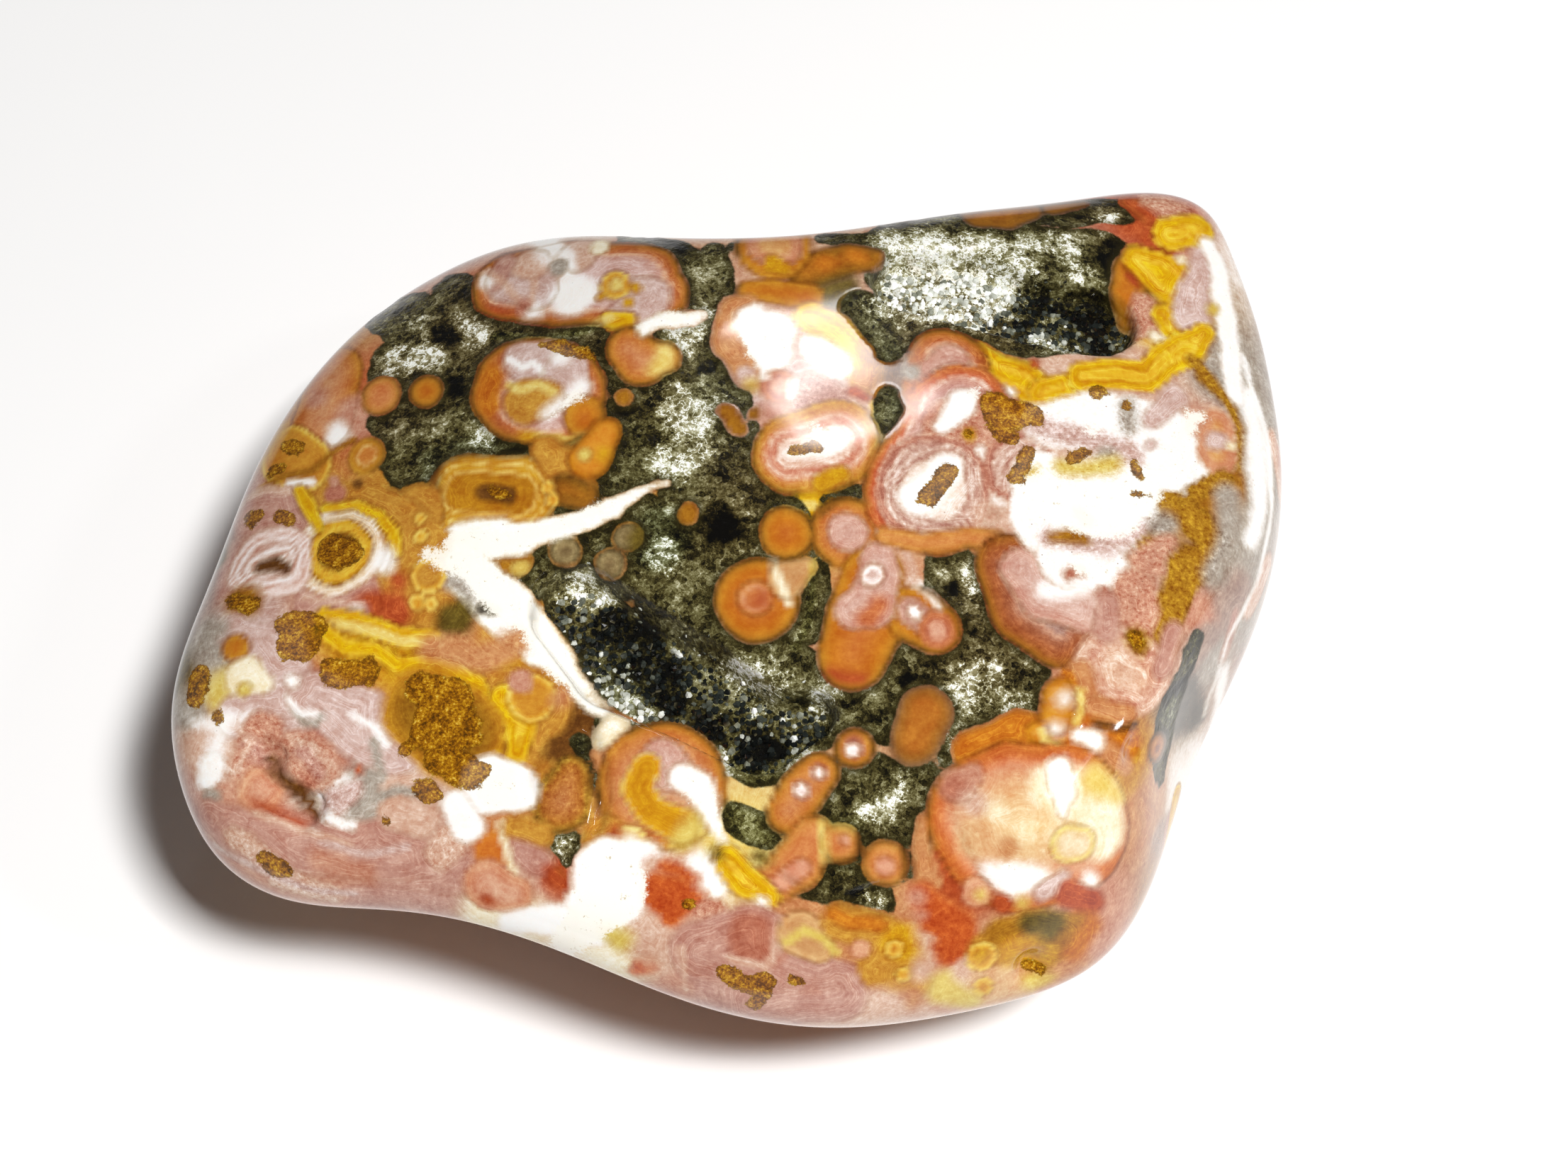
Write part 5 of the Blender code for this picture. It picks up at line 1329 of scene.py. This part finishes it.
def triangles_of(points, faces):
    """The four-sided faces as triangles, each split along its shorter diagonal."""
    first = ((points[faces[:, 0]] - points[faces[:, 2]]) ** 2).sum(axis=1)
    second = ((points[faces[:, 1]] - points[faces[:, 3]]) ** 2).sum(axis=1)
    turned = np.where((first <= second)[:, None], faces, np.roll(faces, -1, axis=1))
    return np.concatenate([turned[:, [0, 1, 2]], turned[:, [0, 2, 3]]])


def distance_to_line(points, line):
    """Distance from each point to the nearest stretch of a line."""
    nearest = np.full(len(points), np.inf)
    line = np.array(line)
    for start, end in zip(line, line[1:]):
        run = end - start
        along = np.clip((points - start) @ run / (run @ run), 0.0, 1.0)
        nearest = np.minimum(nearest, np.linalg.norm(points - start - along[:, None] * run, axis=1))
    return nearest


@lru_cache(maxsize=1)
def skin_surface(count, grain_height):
    """The skin's points, faces, normals and pattern. Each point is the stone's form there, moved along
    its normal by the grooves and lips, by the grain of the crystals in the dark matrix, and a little
    inwards where the matrix wore away faster than the orbs."""
    rays, faces = folded_grid(count)
    points = stone_form(rays)
    normals = normals_of(points, faces)
    depths, tint = pattern_at(points)
    rise = np.zeros(len(points))
    for line, half_width, height in GROOVES:
        rise += height * np.exp(-((distance_to_line(points, line) / half_width) ** 2))
    bare = smooth_step(0.0, 0.45, depths["matrix"])
    floor = smooth_step(0.0, 0.25, depths["hollow"])
    grain = layered_noise(points, GRAIN_NOISE)
    rise += bare * (grain_height * grain * (0.35 + 0.65 * floor) - MATRIX_WEAR)
    points = points + normals * rise[:, None]
    points[:, 2] = np.maximum(points[:, 2], -BASE_DEPTH)
    return points, triangles_of(points, faces), normals_of(points, faces), depths, tint


def shift_into_frame(points):
    """The solid's move into the frame: its outline's middle over the origin, on its flat spot."""
    low, high = points.min(axis=0), points.max(axis=0)
    return np.array([-(low[0] + high[0]) / 2.0, -(low[1] + high[1]) / 2.0, BASE_DEPTH])


class Recipe:
    """A short way to write a material's nodes down."""

    def __init__(self, name):
        self.material = bpy.data.materials.new(name)
        self.material.use_nodes = True
        self.tree = self.material.node_tree
        self.shader = self.tree.nodes["Principled BSDF"]

    def node(self, kind, inputs=(), **settings):
        """A new node with its settings, and with its sockets fed by number or by name."""
        made = self.tree.nodes.new("ShaderNode" + kind)
        for name, value in settings.items():
            setattr(made, name, value)
        for socket, value in dict(inputs).items():
            self.feed(made.inputs[socket], value)
        return made

    def feed(self, socket, value):
        """Links a socket to another's output, or sets its value."""
        if isinstance(value, bpy.types.NodeSocket):
            self.tree.links.new(value, socket)
        else:
            socket.default_value = value

    def fix(self, **values):
        """Sets constants of the shader, by the socket's name with underscores for spaces."""
        for name, value in values.items():
            self.shader.inputs[name.replace("_", " ")].default_value = value

    def scaled(self, vector, factor):
        """A vector times a number."""
        return self.node("VectorMath", {0: vector, 3: factor}, operation="SCALE").outputs[0]

    def place(self):
        """Object coordinates in millimetres."""
        return self.scaled(self.node("TexCoord").outputs["Object"], 1.0 / MM)

    def attribute(self, name):
        """One of the mesh's attributes as a vector."""
        return self.node("Attribute", attribute_name=name).outputs["Vector"]

    def stored(self, name):
        """The three values of one of the skin's attributes."""
        return self.node("SeparateXYZ", {0: self.attribute(name)}).outputs

    def channel(self, colour, number):
        """The red, green or blue of a colour."""
        return self.node("SeparateColor", {0: colour}).outputs[number]

    def math(self, operation, first, second=0.0, third=0.0):
        return self.node("Math", {0: first, 1: second, 2: third}, operation=operation).outputs[0]

    def times(self, first, second):
        return self.math("MULTIPLY", first, second)

    def times_plus(self, first, second, third):
        """first * second + third"""
        return self.math("MULTIPLY_ADD", first, second, third)

    def step(self, value, low, high):
        """0 below low, 1 above high, eased between."""
        inputs = {"Value": value, "From Min": low, "From Max": high}
        return self.node("MapRange", inputs, interpolation_type="SMOOTHSTEP").outputs[0]

    def noise(self, place, scale, detail=2.0, roughness=0.5, w=None):
        """Noise from 0 to 1, about scale swells to a millimetre, that changes along w where it is given."""
        inputs = {"Vector": place, "Scale": scale, "Detail": detail, "Roughness": roughness}
        if w is not None:
            inputs["W"] = w
        return self.node("TexNoise", inputs, noise_dimensions="3D" if w is None else "4D").outputs["Fac"]

    def cells(self, place, scale):
        """The distance to the nearest of scattered spots, and that spot's colour."""
        return self.node("TexVoronoi", {"Vector": place, "Scale": scale}, feature="F1").outputs

    def ramp(self, value, stops):
        """A colour for each value: the stops are (value, colour of 0 to 255)."""
        made = self.node("ValToRGB", {0: value})
        elements = made.color_ramp.elements
        while len(elements) < len(stops):
            elements.new(1.0)
        for element, (at, colour) in zip(elements, stops):
            element.position = at
            element.color = paint(colour)
        return made.outputs[0]

    def mix(self, share, under, over, blend="MIX"):
        """A colour laid over another by a share."""
        made = self.node("Mix", data_type="RGBA", blend_type=blend)
        for socket, value in zip((made.inputs[0], made.inputs[6], made.inputs[7]), (share, under, over)):
            self.feed(socket, value)
        return made.outputs[2]

    def shade(self, share, under, tone):
        """A tone of about (188, 188, 188) leaves a colour as it is, and others lighten or darken it."""
        return self.mix(share, under, tone, "SOFT_LIGHT")

    def tinted(self, share, under, colour):
        """A colour multiplied by another, by a share."""
        return self.mix(share, under, colour, "MULTIPLY")


def paint(colour):
    """A palette name or a colour of 0 to 255 as a shader's colour."""
    return (*linear(colour), 1.0)


class JasperRecipe(Recipe):
    """The recipe of the polished skin, with the values that its layers share."""

    def __init__(self):
        super().__init__("polished_jasper_skin")
        self.at = self.place()
        self.depth, self.lines, self.grain = self.stored("bodies")
        self.matrix, self.frost, self.pitch = self.stored("darks")
        # the cream mark holds white crusts and painted highlights
        self.moss, self.cream, self.halo = self.stored("marks")
        self.hollow = self.stored("floors")[0]
        self.tint = self.attribute("tint")
        self.fine = self.math("SUBTRACT", self.noise(self.at, 2.2, 4.0, 0.6), 0.5)
        self.dust = self.math("SUBTRACT", self.noise(self.at, 7.0, 3.0, 0.7), 0.5)
        self.dark = self.uneven(self.matrix, 0.16, 0.12)
        self.inside = self.step(self.dark, -0.05, 0.10)

    def uneven(self, depth, share, dusty=0.0):
        """A depth whose edge wanders by a share of the fine noise and of the dust."""
        depth = self.times_plus(self.fine, share, depth)
        return self.times_plus(self.dust, dusty, depth) if dusty else depth


def bodies_colour(r):
    """The painted tint with clouds all over, lines that follow the bodies' edges, grain, rings of small
    knobs and dark specks, each by the share that its body asks for."""
    cloud_stops = ((0.34, (146, 128, 122)), (0.5, (188, 186, 186)), (0.66, (232, 230, 228)))
    colour = r.shade(0.55, r.tint, r.ramp(r.noise(r.at, 0.9, 5.0, 0.6), cloud_stops))

    depth = r.times(r.uneven(r.depth, 0.22, 0.05), 2.1)
    line_tone = r.ramp(
        r.noise(r.scaled(r.at, 0.12), 1.0, 2.0, 0.55, depth),
        (
            (0.30, (128, 108, 104)), (0.40, (190, 188, 188)), (0.445, (196, 194, 194)),
            (0.46, (250, 248, 246)), (0.475, (190, 188, 188)), (0.52, (176, 168, 166)),
            (0.55, (206, 204, 204)), (0.565, (254, 252, 250)), (0.585, (160, 146, 142)),
            (0.66, (206, 202, 200)),
        ),
    )
    colour = r.shade(r.times(r.lines, 0.95), colour, line_tone)

    grain_tone = r.ramp(
        r.noise(r.at, 3.6, 4.0, 0.7),
        ((0.36, (96, 82, 78)), (0.48, (184, 182, 182)), (0.54, (192, 190, 190)), (0.66, (254, 254, 252))),
    )
    colour = r.shade(r.times(r.grain, 0.8), colour, grain_tone)

    bend = r.node("TexNoise", {"Vector": r.at, "Scale": 0.9, "Detail": 3.0}).outputs["Color"]
    knobs = r.cells(r.node("VectorMath", {0: r.at, 1: bend}, operation="ADD").outputs[0], 0.8)
    knob_rings = r.ramp(
        r.noise(r.at, 0.2, 2.0, 0.5, r.times(knobs["Distance"], 5.0)),
        ((0.38, (140, 122, 116)), (0.5, (190, 186, 184)), (0.56, (246, 242, 238)), (0.62, (170, 160, 156))),
    )
    colour = r.shade(r.times(r.lines, 0.2), colour, knob_rings)

    specks = r.math("SUBTRACT", 1.0, r.step(r.cells(r.at, 1.6)["Distance"], 0.02, 0.10))
    return r.mix(r.times(r.times(specks, r.grain), 0.7), colour, paint((120, 58, 44)))


def edges_on(r, colour):
    """A thin brown line where two bodies meet, and a brown glow inside a body's edge at the matrix."""
    seam = r.times(r.step(r.uneven(r.depth, 0.12), 0.24, 0.04), r.times_plus(r.halo, 0.4, 0.06))
    colour = r.mix(seam, colour, r.tinted(1.0, colour, paint((176, 132, 88))))
    inward = r.times(r.dark, -1.0)
    share = r.node("MapRange", {"Value": inward, "From Min": 0.0, "From Max": 0.7}).outputs[0]
    glow_stops = ((0.0, (56, 42, 18)), (0.1, (104, 70, 24)), (0.3, (168, 108, 36)), (0.6, (200, 128, 44)))
    glow = r.ramp(share, [(at / 0.7, tone) for at, tone in glow_stops])
    return r.mix(r.times(r.halo, r.step(inward, 0.62, 0.0)), colour, glow)


def matrix_crystals(r, settings):
    """The dark matrix: crystal grains of their own greys and olive greens with lacy pale edges, frosted
    or pitch black in places. Returns its colour and the height of its grains."""
    grains = r.cells(r.at, 3.2)
    grey = r.times_plus(r.channel(grains["Color"], 0), 0.34, -0.69)
    grey = r.times_plus(r.noise(r.at, 0.6, 6.0, 0.68), 1.7, grey)
    grey = r.times_plus(r.dust, 0.8, grey)
    frosted = r.step(r.uneven(r.frost, 1.2, 0.8), -0.45, 0.5)
    pitchy = r.step(r.uneven(r.pitch, 0.7, 0.6), -0.2, 0.35)
    ridge = r.math("ABSOLUTE", r.math("SUBTRACT", r.noise(r.at, 1.5, 4.0, 0.66), 0.5))
    grey = r.times_plus(r.step(ridge, 0.045, 0.0), r.times_plus(frosted, 0.22, 0.16), grey)
    grey = r.times_plus(frosted, 0.36, grey)
    grey = r.times_plus(pitchy, -0.40, grey)
    crystals = r.ramp(
        grey,
        (
            (0.0, (8, 9, 8)), (0.2, settings.matrix_dark[:]), (0.38, (76, 76, 46)),
            (0.54, settings.matrix_pale[:]), (0.7, (154, 160, 134)), (0.86, (214, 220, 204)),
            (1.0, (253, 254, 250)),
        ),
    )
    crystals = r.mix(0.45, crystals, r.shade(0.8, crystals, r.tint))
    rim = r.times(r.step(r.uneven(r.matrix, 0.3), 0.55, 0.05), r.times_plus(frosted, -0.4, 0.75))
    crystals = r.mix(rim, crystals, paint((44, 38, 14)))
    return crystals, r.times_plus(grey, 0.6, r.times(grains["Distance"], -0.5))


def pale_crusts_and_painted_highlights_on(r, colour, settings):
    """White and cream crusts with gaps in them, many of which are painted highlights."""
    # the cream mark covers white crusts and painted highlights
    share = r.step(r.uneven(r.cream, 0.7, 1.3), -0.05, 0.35)
    gaps = r.step(r.noise(r.at, 2.2, 5.0, 0.75), 0.60, 0.72)
    crust = r.mix(gaps, paint(settings.cream[:]), paint((196, 178, 150)))
    return r.mix(r.times(share, 0.9), colour, crust)


def moss_on(r, colour, settings):
    """Brown moss, mottled, with a little of the tint in it and a darker edge."""
    inner = r.uneven(r.moss, 0.3, 0.45)
    mottle = r.ramp(
        r.times_plus(r.dust, 0.9, r.noise(r.at, 1.6, 5.0, 0.68)),
        (
            (0.28, (66, 38, 2)), (0.42, settings.moss[:]), (0.54, (172, 114, 12)), (0.66, (214, 164, 34)),
            (0.8, (250, 222, 120)),
        ),
    )
    mottle = r.mix(0.1, mottle, r.tint)
    mottle = r.mix(r.times(r.step(inner, 0.3, 0.0), 0.5), mottle, paint((78, 48, 6)))
    return r.mix(r.step(inner, -0.03, 0.06), colour, mottle)


def jasper_finish(settings):
    """Polished jasper: the bodies, the dark matrix round them, and crusts and moss over both."""
    r = JasperRecipe()
    crystals, height = matrix_crystals(r, settings)
    colour = r.mix(r.inside, edges_on(r, bodies_colour(r)), crystals)
    colour = moss_on(r, pale_crusts_and_painted_highlights_on(r, colour, settings), settings)

    # whites stay neutral, and the rest is a little deeper and warmer
    pale = r.step(r.channel(colour, 2), 0.3, 0.85)
    warm = r.tinted(1.0, colour, (0.80, 0.77, 0.66, 1.0))
    neutral = r.tinted(1.0, colour, (0.92, 0.92, 0.91, 1.0))
    r.feed(r.shader.inputs["Base Color"], r.mix(pale, warm, neutral))

    # polished all over, but for the crystals: most of all on the floors of the hollows
    rough = r.times(r.inside, r.times_plus(r.step(r.hollow, 0.0, 0.2), 0.65, 0.35))
    roughness = r.times_plus(rough, 0.38, r.times_plus(r.dust, 0.05, settings.polish))
    r.feed(r.shader.inputs["Roughness"], roughness)
    bump = r.node("Bump", {"Height": height, "Strength": r.times(rough, 0.8), "Distance": 0.1 * MM})
    r.feed(r.shader.inputs["Normal"], bump.outputs[0])
    r.fix(IOR=QUARTZ_IOR)
    r.fix(Subsurface_Weight=0.04, Subsurface_Radius=(1.0, 0.5, 0.3), Subsurface_Scale=0.8 * MM)
    return r.material


def quartz_finish(settings):
    """Small quartz crystals: each has its own grey, from pitch black to frosted white, with cloudy roots."""
    r = Recipe("smoky_quartz_crystals")
    shade, height, _ = r.stored("crystal")
    grey = r.times_plus(r.noise(r.place(), 4.0, 3.0, 0.6), 0.3, r.math("SUBTRACT", shade, 0.15))
    colour = r.ramp(
        grey,
        (
            (0.0, (10, 11, 11)), (0.3, settings.smoky[:]), (0.5, (66, 70, 62)), (0.66, (128, 130, 114)),
            (0.82, (206, 208, 198)), (1.0, settings.clear[:]),
        ),
    )
    cloudy = r.mix(0.5, colour, paint((120, 112, 84)))
    r.feed(r.shader.inputs["Base Color"], r.mix(r.step(height, 0.7, 0.0), colour, cloudy))
    r.fix(Roughness=0.12, IOR=QUARTZ_IOR)
    return r.material


def paper_finish(settings):
    """Pale paper, a touch darker in slow patches."""
    r = Recipe("pale_paper")
    tone = linear(settings.floor[:])
    patches = r.noise(r.place(), 0.05, 2.0)
    r.feed(r.shader.inputs["Base Color"], r.mix(patches, (*tone, 1.0), (*(tone * 0.99), 1.0)))
    r.fix(Roughness=0.6, Specular_IOR_Level=0.2)
    return r.material


def add_mesh(name, points, faces, finish, values, smooth):
    """One object at the origin from arrays of points and faces, with its stored values and finish."""
    data = bpy.data.meshes.new(name)
    data.from_pydata(points, [], faces)
    for key, value in values.items():
        stored = data.attributes.new(key, "FLOAT_VECTOR", "POINT")
        stored.data.foreach_set("vector", np.ascontiguousarray(value, dtype=np.float32).ravel())
    data.polygons.foreach_set("use_smooth", np.full(len(data.polygons), smooth))
    data.materials.append(finish)
    data.update()
    piece = bpy.data.objects.new(name, data)
    bpy.context.scene.collection.objects.link(piece)
    return piece


def crystal_roots(place, pitch, skin, chance):
    """The skin points that carry a crystal: one in each small square of a hollow's bare matrix. Also
    gives how deep in the hollow each lies, from 0 at the rim to 1."""
    points, _, _, depths, _ = skin
    share = share_from_above(HOLLOWS[place][0], points)
    reach = 0.97 + 0.1 * swell_noise(points / 0.8, 51)
    near = np.flatnonzero((share < reach) & (depths["matrix"] > 0.1))
    near = near[chance.permutation(len(near))]
    squares = np.floor(points[near, :2] / pitch).astype(int)
    near = near[np.unique(squares @ (1, ROW_LENGTH), return_index=True)[1]]
    return near, smooth_step(1.0, 0.55, share[near])


def crystal_crust(place, settings, skin):
    """Six-sided crystals over the floor of a hollow: a prism with a pointed top stands on each root,
    along the normal there and leaning a little. Corner k of the prism is root + width * (cos, sin) of
    60 k degrees across the axis, and the tip is height along the axis. Each prism's twelve corners
    come before its tip. Returns points, faces, and the shade and the height share of each point."""
    points, _, normals, depths, _ = skin
    chance = np.random.default_rng(len(place))
    near, low_share = crystal_roots(place, settings.pitch, skin, chance)
    count = len(near)

    axis = normals[near] + chance.normal(size=(count, 3)) * settings.lean
    axis /= np.linalg.norm(axis, axis=1)[:, None]
    side = np.cross(axis, chance.normal(size=(count, 3)))
    side /= np.linalg.norm(side, axis=1)[:, None]
    other = np.cross(axis, side)
    width = settings.pitch * chance.uniform(*CRYSTAL_WIDTHS, count) * (0.7 + 0.3 * low_share)
    height = width * chance.uniform(*CRYSTAL_HEIGHTS, count) * (0.5 + 0.5 * low_share)
    turn = (np.arange(6) * math.pi / 3.0)[:, None]
    ring = side[:, None] * np.cos(turn) + other[:, None] * np.sin(turn)
    ring = ring * (width[:, None] * chance.uniform(*CRYSTAL_CORNERS, (count, 6)))[..., None]
    root = points[near] - axis * ROOT_DEPTH
    shoulder = chance.uniform(*CRYSTAL_SHOULDERS, count) * height
    low = root[:, None] + ring
    high = low + (axis * shoulder[:, None])[:, None]
    tip = root + axis * height[:, None] + side * (width * chance.uniform(-0.3, 0.3, count))[:, None]
    vertices = np.concatenate([low, high, tip[:, None]], axis=1).reshape(-1, 3)

    here, there = np.arange(6), (np.arange(6) + 1) % 6
    walls = np.stack([here, there, there + 6, here + 6], axis=1)
    caps = np.stack([here + 6, there + 6, np.full(6, 12)], axis=1)
    first = 13 * np.arange(count)[:, None, None]
    faces = (first + walls).reshape(-1, 4).tolist() + (first + caps).reshape(-1, 3).tolist()
    faces += (first[:, 0] + here[::-1]).tolist()

    frost = smooth_step(-0.3, 0.5, depths["frost"][near])
    pitch = smooth_step(-0.2, 0.4, depths["pitch"][near])
    shade = chance.beta(1.3, 2.4, count) + 0.55 * frost - 0.35 * pitch + 0.12 * (1.0 - low_share)
    stored = np.zeros((count, 13, 3))
    stored[:, :, 0] = shade[:, None]
    stored[:, 6:, 1] = 0.7
    stored[:, 12, 1] = 1.0
    return vertices, faces, stored.reshape(-1, 3)


def add_lamp(name, spot, size, power, mirrored):
    """A rectangular lamp at a spot, turned towards the stone. Only a mirrored one shows in the polish."""
    light = bpy.data.lights.new(name, "AREA")
    light.shape = "RECTANGLE"
    light.size, light.size_y = size
    light.energy = power
    lamp = bpy.data.objects.new(name, light)
    lamp.location = spot
    lamp.visible_glossy = mirrored
    away = -(np.array(spot) - LAMP_AIM)
    fall = math.acos(-away[2] / np.linalg.norm(away))
    lamp.rotation_euler = (fall, 0.0, math.atan2(away[1], away[0]) - math.pi / 2.0)
    bpy.context.scene.collection.objects.link(lamp)


def add_camera(settings):
    """The camera at the photo's angle, aimed at the middle of the photo's view."""
    lens = bpy.data.cameras.new("camera")
    lens.lens = settings.lens
    lens.sensor_width = SENSOR_WIDTH
    lens.clip_start = 0.01
    camera = bpy.data.objects.new("camera", lens)
    back = np.array([0.0, -math.cos(settings.elevation), math.sin(settings.elevation)])
    camera.location = np.array(CAMERA_AIM) + back * settings.distance
    camera.rotation_euler = (math.pi / 2.0 - settings.elevation, 0.0, 0.0)
    bpy.context.scene.collection.objects.link(camera)
    bpy.context.scene.camera = camera


def colour_setting(name, description, default):
    """A colour that a user may change."""
    return FloatVectorProperty(name=name, description=description + ", 0 to 255", default=default)


class JasperSkinSettings(PropertyGroup):
    """The stone's skin"""

    count: IntProperty(
        name="Grid points",
        description="Points along each side of the grid that is folded round the stone, an odd number",
        default=315,
        min=51,
        max=315,
    )
    grain: FloatProperty(
        name="Crystal grain",
        description="Height of the crystal grain in the dark matrix, in millimetres",
        default=0.06,
        min=0.0,
        max=0.3,
    )
    polish: FloatProperty(
        name="Roughness",
        description="Roughness of the polished surface",
        default=0.085,
        min=0.0,
        max=1.0,
        subtype="FACTOR",
    )
    moss: colour_setting("Moss", "Brown of the moss", (124, 74, 6))
    # the cream colour paints white crusts and painted highlights alike
    cream: colour_setting("Cream", "White and cream streaks", (254, 250, 240))
    matrix_dark: colour_setting("Dark matrix", "Darkest green of the matrix", (38, 38, 20))
    matrix_pale: colour_setting("Pale matrix", "Grey green of its crystals", (112, 116, 84))


class JasperCrustSettings(PropertyGroup):
    """The crystals in the two hollows"""

    pitch: FloatProperty(
        name="Pitch", description="Distance between crystals, in millimetres", default=0.34, min=0.15, max=2.0
    )
    lean: FloatProperty(
        name="Lean", description="How far crystals lean away from upright", default=0.35, min=0.0, max=1.0
    )
    smoky: colour_setting("Smoky", "Dark crystals", (30, 34, 32))
    clear: colour_setting("Clear", "Pale crystals", (250, 251, 246))


class JasperStageSettings(PropertyGroup):
    """The floor, the light and the camera"""

    elevation: FloatProperty(
        name="Elevation",
        description="Height of the camera above the horizon",
        default=math.radians(60.0),
        subtype="ANGLE",
    )
    distance: FloatProperty(
        name="Distance", description="From the camera to the stone", default=0.1763, unit="LENGTH"
    )
    lens: FloatProperty(name="Lens", description="Focal length in millimetres", default=70.0)
    floor: colour_setting("Floor", "Colour of the floor", (246, 245, 244))
    sky: FloatProperty(name="Sky", description="Strength of the even white light", default=0.065)
    key: FloatProperty(
        name="Key light", description="Power of the lamp above the stone, in watts", default=2.9
    )


class JASPER_OT_stone_skin(Operator):
    """Builds the stone's polished skin, which stands for the solid stone"""

    bl_idname = "jasper.stone_skin"
    bl_label = "Stone skin"

    def execute(self, context):
        settings = context.scene.jasper_skin
        points, faces, _, depths, tint = skin_surface(settings.count, settings.grain)
        values = {"tint": tint}
        for name, kinds in ATTRIBUTES.items():
            values[name] = np.stack([depths[kind] for kind in kinds], axis=1)
        placed = (points + shift_into_frame(points)) * MM
        piece = add_mesh("stone_skin", placed, faces, jasper_finish(settings), values, True)
        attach(piece, "root")
        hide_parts("stone")
        return {"FINISHED"}


class JASPER_OT_crystal_crusts(Operator):
    """Lines the two hollows with quartz crystals, which stand for the solid crusts"""

    bl_idname = "jasper.crystal_crusts"
    bl_label = "Crystal crusts"

    def execute(self, context):
        settings = context.scene.jasper_crust
        skin_settings = context.scene.jasper_skin
        skin = skin_surface(skin_settings.count, skin_settings.grain)
        shift = shift_into_frame(skin[0])
        finish = quartz_finish(settings)
        for place in HOLLOWS:
            vertices, faces, stored = crystal_crust(place, settings, skin)
            placed = (vertices + shift) * MM
            piece = add_mesh("crystals_" + place, placed, faces, finish, {"crystal": stored}, False)
            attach(piece, "root")
            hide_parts("druse_" + place)
        return {"FINISHED"}


class JASPER_OT_studio(Operator):
    """Sets up the pale floor, the soft light and the camera"""

    bl_idname = "jasper.studio"
    bl_label = "Studio"

    def execute(self, context):
        settings = context.scene.jasper_stage
        scene = context.scene
        half = FLOOR_SIZE / 2.0
        corners = [(-half, -half, 0.0), (half, -half, 0.0), (half, half, 0.0), (-half, half, 0.0)]
        floor = add_mesh("floor", corners, [(0, 1, 2, 3)], paper_finish(settings), {}, False)

        world = bpy.data.worlds.new("even_sky")
        world.use_nodes = True
        world.node_tree.nodes["Background"].inputs["Color"].default_value = (1.0, 1.0, 1.0, 1.0)
        world.node_tree.nodes["Background"].inputs["Strength"].default_value = settings.sky
        scene.world = world
        scene.view_settings.view_transform = "Standard"

        for name, spot, size, share, mirrored in LAMPS:
            add_lamp(name, spot, size, settings.key * share, mirrored)
        add_camera(settings)
        return {"FINISHED"}


OPERATORS = (JASPER_OT_stone_skin, JASPER_OT_crystal_crusts, JASPER_OT_studio)
SETTINGS = (
    ("jasper_skin", JasperSkinSettings),
    ("jasper_crust", JasperCrustSettings),
    ("jasper_stage", JasperStageSettings),
)


class JASPER_PT_panel(Panel):
    """Lists the pieces and their settings"""

    bl_label = "Ocean jasper"
    bl_idname = "JASPER_PT_panel"
    bl_space_type = "VIEW_3D"
    bl_region_type = "UI"
    bl_category = "Jasper"

    def draw(self, context):
        for operator, (key, group) in zip(OPERATORS, SETTINGS):
            box = self.layout.box()
            box.operator(operator.bl_idname)
            for name in group.__annotations__:
                box.prop(getattr(context.scene, key), name)


def register():
    """Adds the settings, the operators and the panel."""
    for name, group in SETTINGS:
        bpy.utils.register_class(group)
        setattr(bpy.types.Scene, name, PointerProperty(type=group))
    for made in (*OPERATORS, JASPER_PT_panel):
        bpy.utils.register_class(made)


def unregister():
    """Takes them away again."""
    for made in (JASPER_PT_panel, *reversed(OPERATORS)):
        bpy.utils.unregister_class(made)
    for name, group in reversed(SETTINGS):
        delattr(bpy.types.Scene, name)
        bpy.utils.unregister_class(group)


def main():
    """Builds everything."""
    register()
    bpy.ops.jasper.stone_skin()
    bpy.ops.jasper.crystal_crusts()
    bpy.ops.jasper.studio()


if __name__ == "__main__":
    main()
